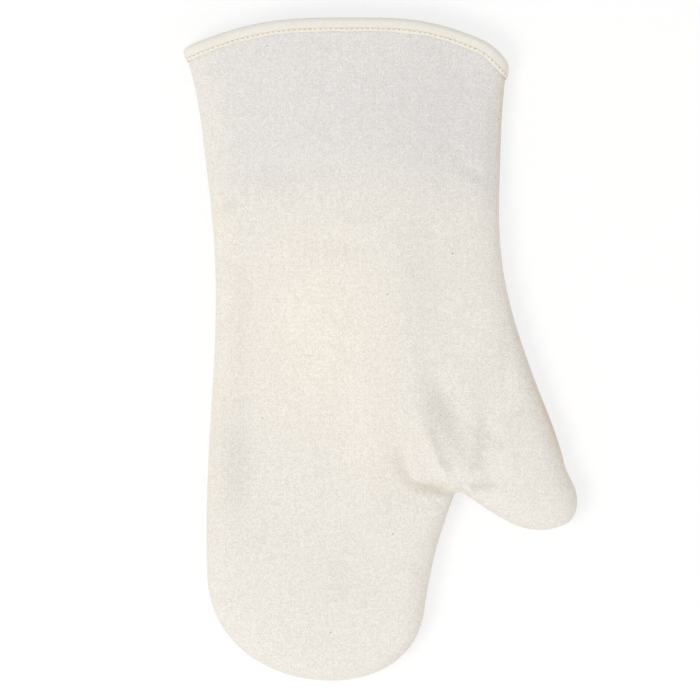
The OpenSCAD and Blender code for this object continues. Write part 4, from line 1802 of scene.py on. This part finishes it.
@dataclass(frozen=True)
class WovenCloth:
    """A plain-woven cotton: its threads' colour and pitch, and how uneven and rough it is.

    Each fleck is its spacing, its size and its strength.
    """

    name: str
    thread: RGB
    shade: RGB
    # painted shade between the threads, where the weave is low
    gap: RGB = (205, 200, 188)
    gap_shade_share: float = 0.4
    grain: float = 0.31
    over: float = 0.34
    fuzz: float = 0.26
    slub: float = 0.12
    cloud: float = 0.05
    pitch: float = 0.000865
    depth: float = 0.0001
    bias: float = 0.0
    flecks: tuple[tuple[float, float, float], ...] = ((0.036, 0.00052, 0.6),
                                                      (0.019, 0.00036, 0.34))
    husk: RGB = (104, 82, 56)
    # painted shade in the needle holes
    hole: RGB = (150, 122, 80)
    hole_shade_share: float = 0.75
    roughness: float = 0.92
    paints_shading: bool = False
    shaded_holes: bool = False

    def make(self, effects: Effects) -> bpy.types.Material:
        """Builds the material on the piece's own flat pattern.

        Args:
            effects: the shared node groups.

        Returns:
            The material.
        """
        material, g, shader = new_finish(self.name)
        flat = g.node("ShaderNodeUVMap", uv_map="flat").outputs[0]
        place = g.stretch(flat, 1, 1, 1, self.bias)
        weave = g.group(effects.weave, Place=place, Pitch=self.pitch).outputs
        slubs = g.group(effects.slubs, Place=place, Pitch=self.pitch).outputs["Both"]
        tone = g.group(effects.tone, Place=flat).outputs["Cloud"]
        cloth = g.total(((weave["Grain"], self.grain), (weave["Over"], self.over),
                         (slubs, self.slub), (tone, self.cloud), (weave["Fuzz"], self.fuzz)))
        colour = g.blend(cloth, linear(self.shade), linear(self.thread))
        # painted shade in the gaps between the threads
        colour = g.blend(g.math("MULTIPLY", weave["Gap"], self.gap_shade_share), colour,
                         linear(self.gap))
        for spacing, size, strength in self.flecks:
            mask = g.group(effects.flecks, Place=flat, Spacing=spacing, Size=size).outputs[0]
            colour = g.blend(g.math("MULTIPLY", mask, strength), colour, linear(self.husk))
        # painted light and shade, from the card's attribute
        if self.paints_shading:
            painted_shading = g.node("ShaderNodeAttribute", attribute_name="painted_shading").outputs["Color"]
            colour = g.blend(1.0, colour, painted_shading, "MULTIPLY")
        # painted shade in the needle holes
        if self.shaded_holes:
            hole = g.node("ShaderNodeAttribute", attribute_name="hole").outputs["Fac"]
            colour = g.blend(g.math("MULTIPLY", hole, self.hole_shade_share), colour,
                             linear(self.hole))
        g.put(shader.inputs["Base Color"], colour)
        g.put(shader.inputs["Roughness"], g.math("ADD", self.roughness - 0.06,
                                                 g.math("MULTIPLY", weave["Gap"], 0.08)))
        shader.inputs["Specular IOR Level"].default_value = 0.25
        shader.inputs["Sheen Weight"].default_value = 0.35
        shader.inputs["Sheen Roughness"].default_value = 0.5
        raised = g.total(((weave["Height"], 0.65), (slubs, 0.45)))
        bump = g.node("ShaderNodeBump", {"Height": raised, "Distance": self.depth * 2,
                                         "Strength": 0.8})
        g.put(shader.inputs["Normal"], bump.outputs[0])
        return material


@dataclass(frozen=True)
class Wadding:
    """Needled cotton batting: matted fibres, with no weave."""

    name: str = "cotton_batting"
    light: RGB = (236, 232, 222)
    dark: RGB = (206, 200, 186)

    def make(self, effects: Effects) -> bpy.types.Material:
        """Builds the material from matted noise on Object coordinates.

        Args:
            effects: the shared node groups.

        Returns:
            The material.
        """
        material, g, shader = new_finish(self.name)
        place = g.node("ShaderNodeTexCoord").outputs["Object"]
        tone = g.group(effects.tone, Place=place)
        mats = [g.noise(g.stretch(place, *way, turn), 900.0, 4.0, 0.7)
                for way, turn in (((1, 0.15, 0.5), 0.5), ((0.15, 1, 0.5), 0.3))]
        fibre = g.ramp(g.math("MAXIMUM", *mats), 0.4, 0.75)
        cloth = g.math("ADD", g.math("MULTIPLY", fibre, 0.6),
                       g.math("MULTIPLY", tone.outputs["Cloud"], 0.4))
        g.put(shader.inputs["Base Color"], g.blend(cloth, linear(self.dark), linear(self.light)))
        shader.inputs["Roughness"].default_value = 0.97
        shader.inputs["Specular IOR Level"].default_value = 0.1
        bump = g.node("ShaderNodeBump", {"Height": fibre, "Distance": 0.0006, "Strength": 0.7})
        g.put(shader.inputs["Normal"], bump.outputs[0])
        return material


@dataclass(frozen=True)
class SewingThread:
    """Spun thread: plies that wind round it, with a soft lustre."""

    name: str = "sewing_thread"
    light: RGB = (255, 250, 236)
    dark: RGB = (246, 238, 216)
    lay: float = 0.0009

    def make(self, effects: Effects) -> bpy.types.Material:
        """Builds the material: a wave along s + round, on the thread's own map.

        Args:
            effects: the shared node groups.

        Returns:
            The material.
        """
        material, g, shader = new_finish(self.name)
        flat = g.node("ShaderNodeUVMap", uv_map="flat").outputs[0]
        split = g.node("ShaderNodeSeparateXYZ", {0: flat})
        turn = g.math("ADD", split.outputs[0], g.math("MULTIPLY", split.outputs[1], 0.9))
        ply = g.math("ABSOLUTE", g.math("SINE", g.math("MULTIPLY", turn, math.pi / self.lay)))
        fuzz = g.noise(flat, 6000.0, 2.0)
        tone = g.group(effects.tone, Place=flat)
        # lighter on the plies and darker between them: painted shade in the grooves of the twist
        shade = g.math("ADD", g.math("MULTIPLY", ply, 0.6), g.math("MULTIPLY", fuzz, 0.25))
        shade = g.math("ADD", shade, g.math("MULTIPLY", tone.outputs["Cloud"], 0.15), clamp=True)
        g.put(shader.inputs["Base Color"], g.blend(shade, linear(self.dark), linear(self.light)))
        shader.inputs["Roughness"].default_value = 0.62
        shader.inputs["Sheen Weight"].default_value = 0.15
        bump = g.node("ShaderNodeBump", {"Height": ply, "Distance": 0.0001, "Strength": 0.8})
        g.put(shader.inputs["Normal"], bump.outputs[0])
        return material


# ---------------------------------------------------------------- the studio


@dataclass(frozen=True)
class Lamp:
    """A square area lamp that looks at the middle of the mitt."""

    name: str
    place: tuple[float, float, float]
    size: float
    power: float
    colour: tuple[float, float, float]

    def hang(self) -> None:
        """Puts the lamp in the scene."""
        data = bpy.data.lights.new(self.name, "AREA")
        data.size, data.energy, data.color = self.size, self.power, self.colour
        lamp = bpy.data.objects.new(self.name, data)
        lamp.location = self.place
        lamp.rotation_mode = "QUATERNION"
        lamp.rotation_quaternion = (-Vector(self.place)).to_track_quat("-Z", "Y")
        bpy.context.scene.collection.objects.link(lamp)


@dataclass(frozen=True)
class Studio:
    """Camera straight above, a soft lamp on each side under a pale sky, and a white floor."""

    centre: tuple[float, float] = (-0.0172, -0.0004)
    camera_height: float = 6.0
    view_width: float = 0.4026
    seam_height: float = 0.0095
    sensor: float = 36.0
    sky: float = 0.706
    sky_colour: RGBA = (1.0, 0.985, 0.96, 1.0)
    lamps: tuple[Lamp, ...] = (
        Lamp("key", (-0.97, -0.6, 1.86), 0.9, 16.6, (1.0, 0.99, 0.975)),
        Lamp("fill", (1.5, -0.9, 0.9), 1.4, 2.8, (1.0, 0.985, 0.96)),
    )
    paper: RGBA = (0.97, 0.945, 0.9, 1.0)
    glow: RGBA = (1.0, 1.012, 1.04, 1.0)
    glow_strength: float = 1.03
    glow_share: float = 0.65
    floor_reach: float = 12.0

    def camera(self) -> None:
        """The camera looks straight down, with the cuff at the top of its view."""
        data = bpy.data.cameras.new("camera")
        data.sensor_width = self.sensor
        data.lens = self.sensor * (self.camera_height - self.seam_height) / self.view_width
        data.clip_end = 50.0
        camera = bpy.data.objects.new("camera", data)
        camera.location = (*self.centre, self.camera_height)
        bpy.context.scene.collection.objects.link(camera)
        bpy.context.scene.camera = camera

    def light(self) -> None:
        """A pale sky, a large soft lamp on the left and a weak, low one on the right."""
        bpy.context.scene.view_settings.view_transform = "Standard"
        world = bpy.data.worlds.new("sky")
        world.use_nodes = True
        bpy.context.scene.world = world
        g = Graph(world.node_tree)
        back = world.node_tree.nodes["Background"]
        back.inputs[0].default_value = self.sky_colour
        back.inputs[1].default_value = self.sky
        white = g.node("ShaderNodeBackground", {0: (1, 1, 1, 1), 1: 1.0})
        both = g.node("ShaderNodeMixShader", {0: self.seen(g), 1: back.outputs[0],
                                              2: white.outputs[0]})
        g.put(world.node_tree.nodes["World Output"].inputs[0], both.outputs[0])
        for lamp in self.lamps:
            lamp.hang()

    @staticmethod
    def seen(g: Graph) -> bpy.types.NodeSocket:
        """1 for rays from the camera, from gloss and through glass."""
        rays = g.node("ShaderNodeLightPath")
        seen = g.math("ADD", rays.outputs["Is Camera Ray"], rays.outputs["Is Glossy Ray"])
        return g.math("ADD", seen, rays.outputs["Is Transmission Ray"], clamp=True)

    def floor(self) -> None:
        """A wide pale floor that looks white and keeps a soft shadow."""
        mesh, r = bpy.data.meshes.new("floor"), self.floor_reach
        mesh.from_pydata([(-r, -r, 0), (r, -r, 0), (r, r, 0), (-r, r, 0)], [], [(0, 1, 2, 3)])
        material, g, shader = new_finish("white_floor")
        material.node_tree.nodes.remove(shader)
        paper = g.node("ShaderNodeBsdfDiffuse", {0: self.paper})
        glow = g.node("ShaderNodeEmission", {0: self.glow, 1: self.glow_strength})
        share = g.math("MULTIPLY", self.seen(g), self.glow_share)
        both = g.node("ShaderNodeMixShader", {0: share, 1: paper.outputs[0], 2: glow.outputs[0]})
        g.put(material.node_tree.nodes["Material Output"].inputs[0], both.outputs[0])
        mesh.materials.append(material)
        floor = bpy.data.objects.new("floor", mesh)
        bpy.context.scene.collection.objects.link(floor)
        floor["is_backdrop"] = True


# ---------------------------------------------------------------- the mitt


@dataclass
class OvenMitt:
    """All pieces of the mitt, in the frame's place."""

    card: Card = field(default_factory=Card)
    stack: Stack = field(default_factory=Stack)

    def maker(self) -> Maker:
        """Places the card so that the canvas lies where the frame has it."""
        low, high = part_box("upper_canvas")
        top = self.card.thumb_reach - high.x / MM
        return Maker(np.array([top, -low.y / MM]))

    def surfaces(self) -> dict[str, Surface]:
        """Both sides' surfaces; the upper one is let out by the cloth run.

        Returns:
            The surfaces by name.
        """
        made = {}
        coarse = Weaver(self.card, self.stack, pitch=4.2, tight=1.6, first_step=0.6, growth=1.6,
                        last_step=3.6)
        for name, side, drape in (("upper", Side.UPPER, UPPER_DRAPE),
                                  ("lower", Side.LOWER, LOWER_DRAPE)):
            surface = Surface(self.stack, self.card, side, drape, Settle())
            if side is Side.UPPER:
                surface = Surface(self.stack, self.card, side, drape,
                                  Loosening(coarse).settle(surface))
            made[name] = surface
        return made

    def build(self) -> None:
        """Makes every piece."""
        maker, effects = self.maker(), Effects()
        canvas = WovenCloth("natural_canvas", (255, 252, 248), (211, 206, 199),
                            paints_shading=True).make(effects)
        tape = WovenCloth("binding_tape", (251, 249, 243), (226, 222, 213), pitch=0.00055,
                          depth=0.00006, bias=math.pi / 4, flecks=((0.03, 0.0003, 0.4),),
                          shaded_holes=True).make(effects)
        inside = WovenCloth("lining_cotton", (243, 240, 233), (226, 222, 213), pitch=0.00042,
                            depth=0.00004, flecks=((0.03, 0.0003, 0.4),)).make(effects)
        batting = Wadding().make(effects)
        thread = SewingThread().make(effects)
        fine = Weaver(self.card, self.stack)
        plain = Weaver(self.card, self.stack, pitch=3.4, tight=1.6, first_step=0.03, growth=1.8,
                       last_step=3.2)
        for name, surface in self.surfaces().items():
            panel = Panel(surface, fine, plain)
            for part, shape, material, slot in (
                ("canvas", panel.canvas(), canvas, "canvas"),
                ("batting", panel.batting(), batting, "batting"),
                ("lining", panel.lining(), inside, "lining"),
            ):
                node = f"{name}_{part}"
                piece = maker.build(f"{node}_cloth", shape, material, slot, node)
                if part == "batting":
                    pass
                else:
                    flat, area = cut_size(shape)
        binding = CuffBinding(Mouth(self.card, self.stack))
        strip = binding.shape()
        piece = maker.build("cuff_binding_tape", strip, tape, "binding", "cuff_binding")
        for name, outer in (("outer_stitches", True), ("inner_stitches", False)):
            maker.build(f"{name}_thread", StitchRow(binding, outer).shape(), thread, "thread",
                        name)
        middle = (Level.CANVAS_IN.across(self.stack) + self.stack.thread_room / 2,
                  Level.BATTING_IN.across(self.stack) + self.stack.thread_room / 2)
        for name, inset in zip(("canvas_seam_thread", "lining_seam_thread"), middle):
            maker.build(f"{name}_run", SeamThread(fine, inset).shape(), thread, "thread", name)


def main() -> dict[str, list[float]]:
    """Builds the studio and the mitt around the frame.

    Returns:
        The frame's box and the dressed mitt's box, as plain lists.
    """
    logging.basicConfig(level=logging.INFO, format="%(name)s: %(message)s")
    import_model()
    sizes = {"cad": [list(v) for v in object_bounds()]}
    studio = Studio()
    studio.camera()
    studio.light()
    studio.floor()
    OvenMitt().build()
    sizes["visual"] = [list(v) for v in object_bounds()]
    return sizes


if __name__ == "__main__":
    main()
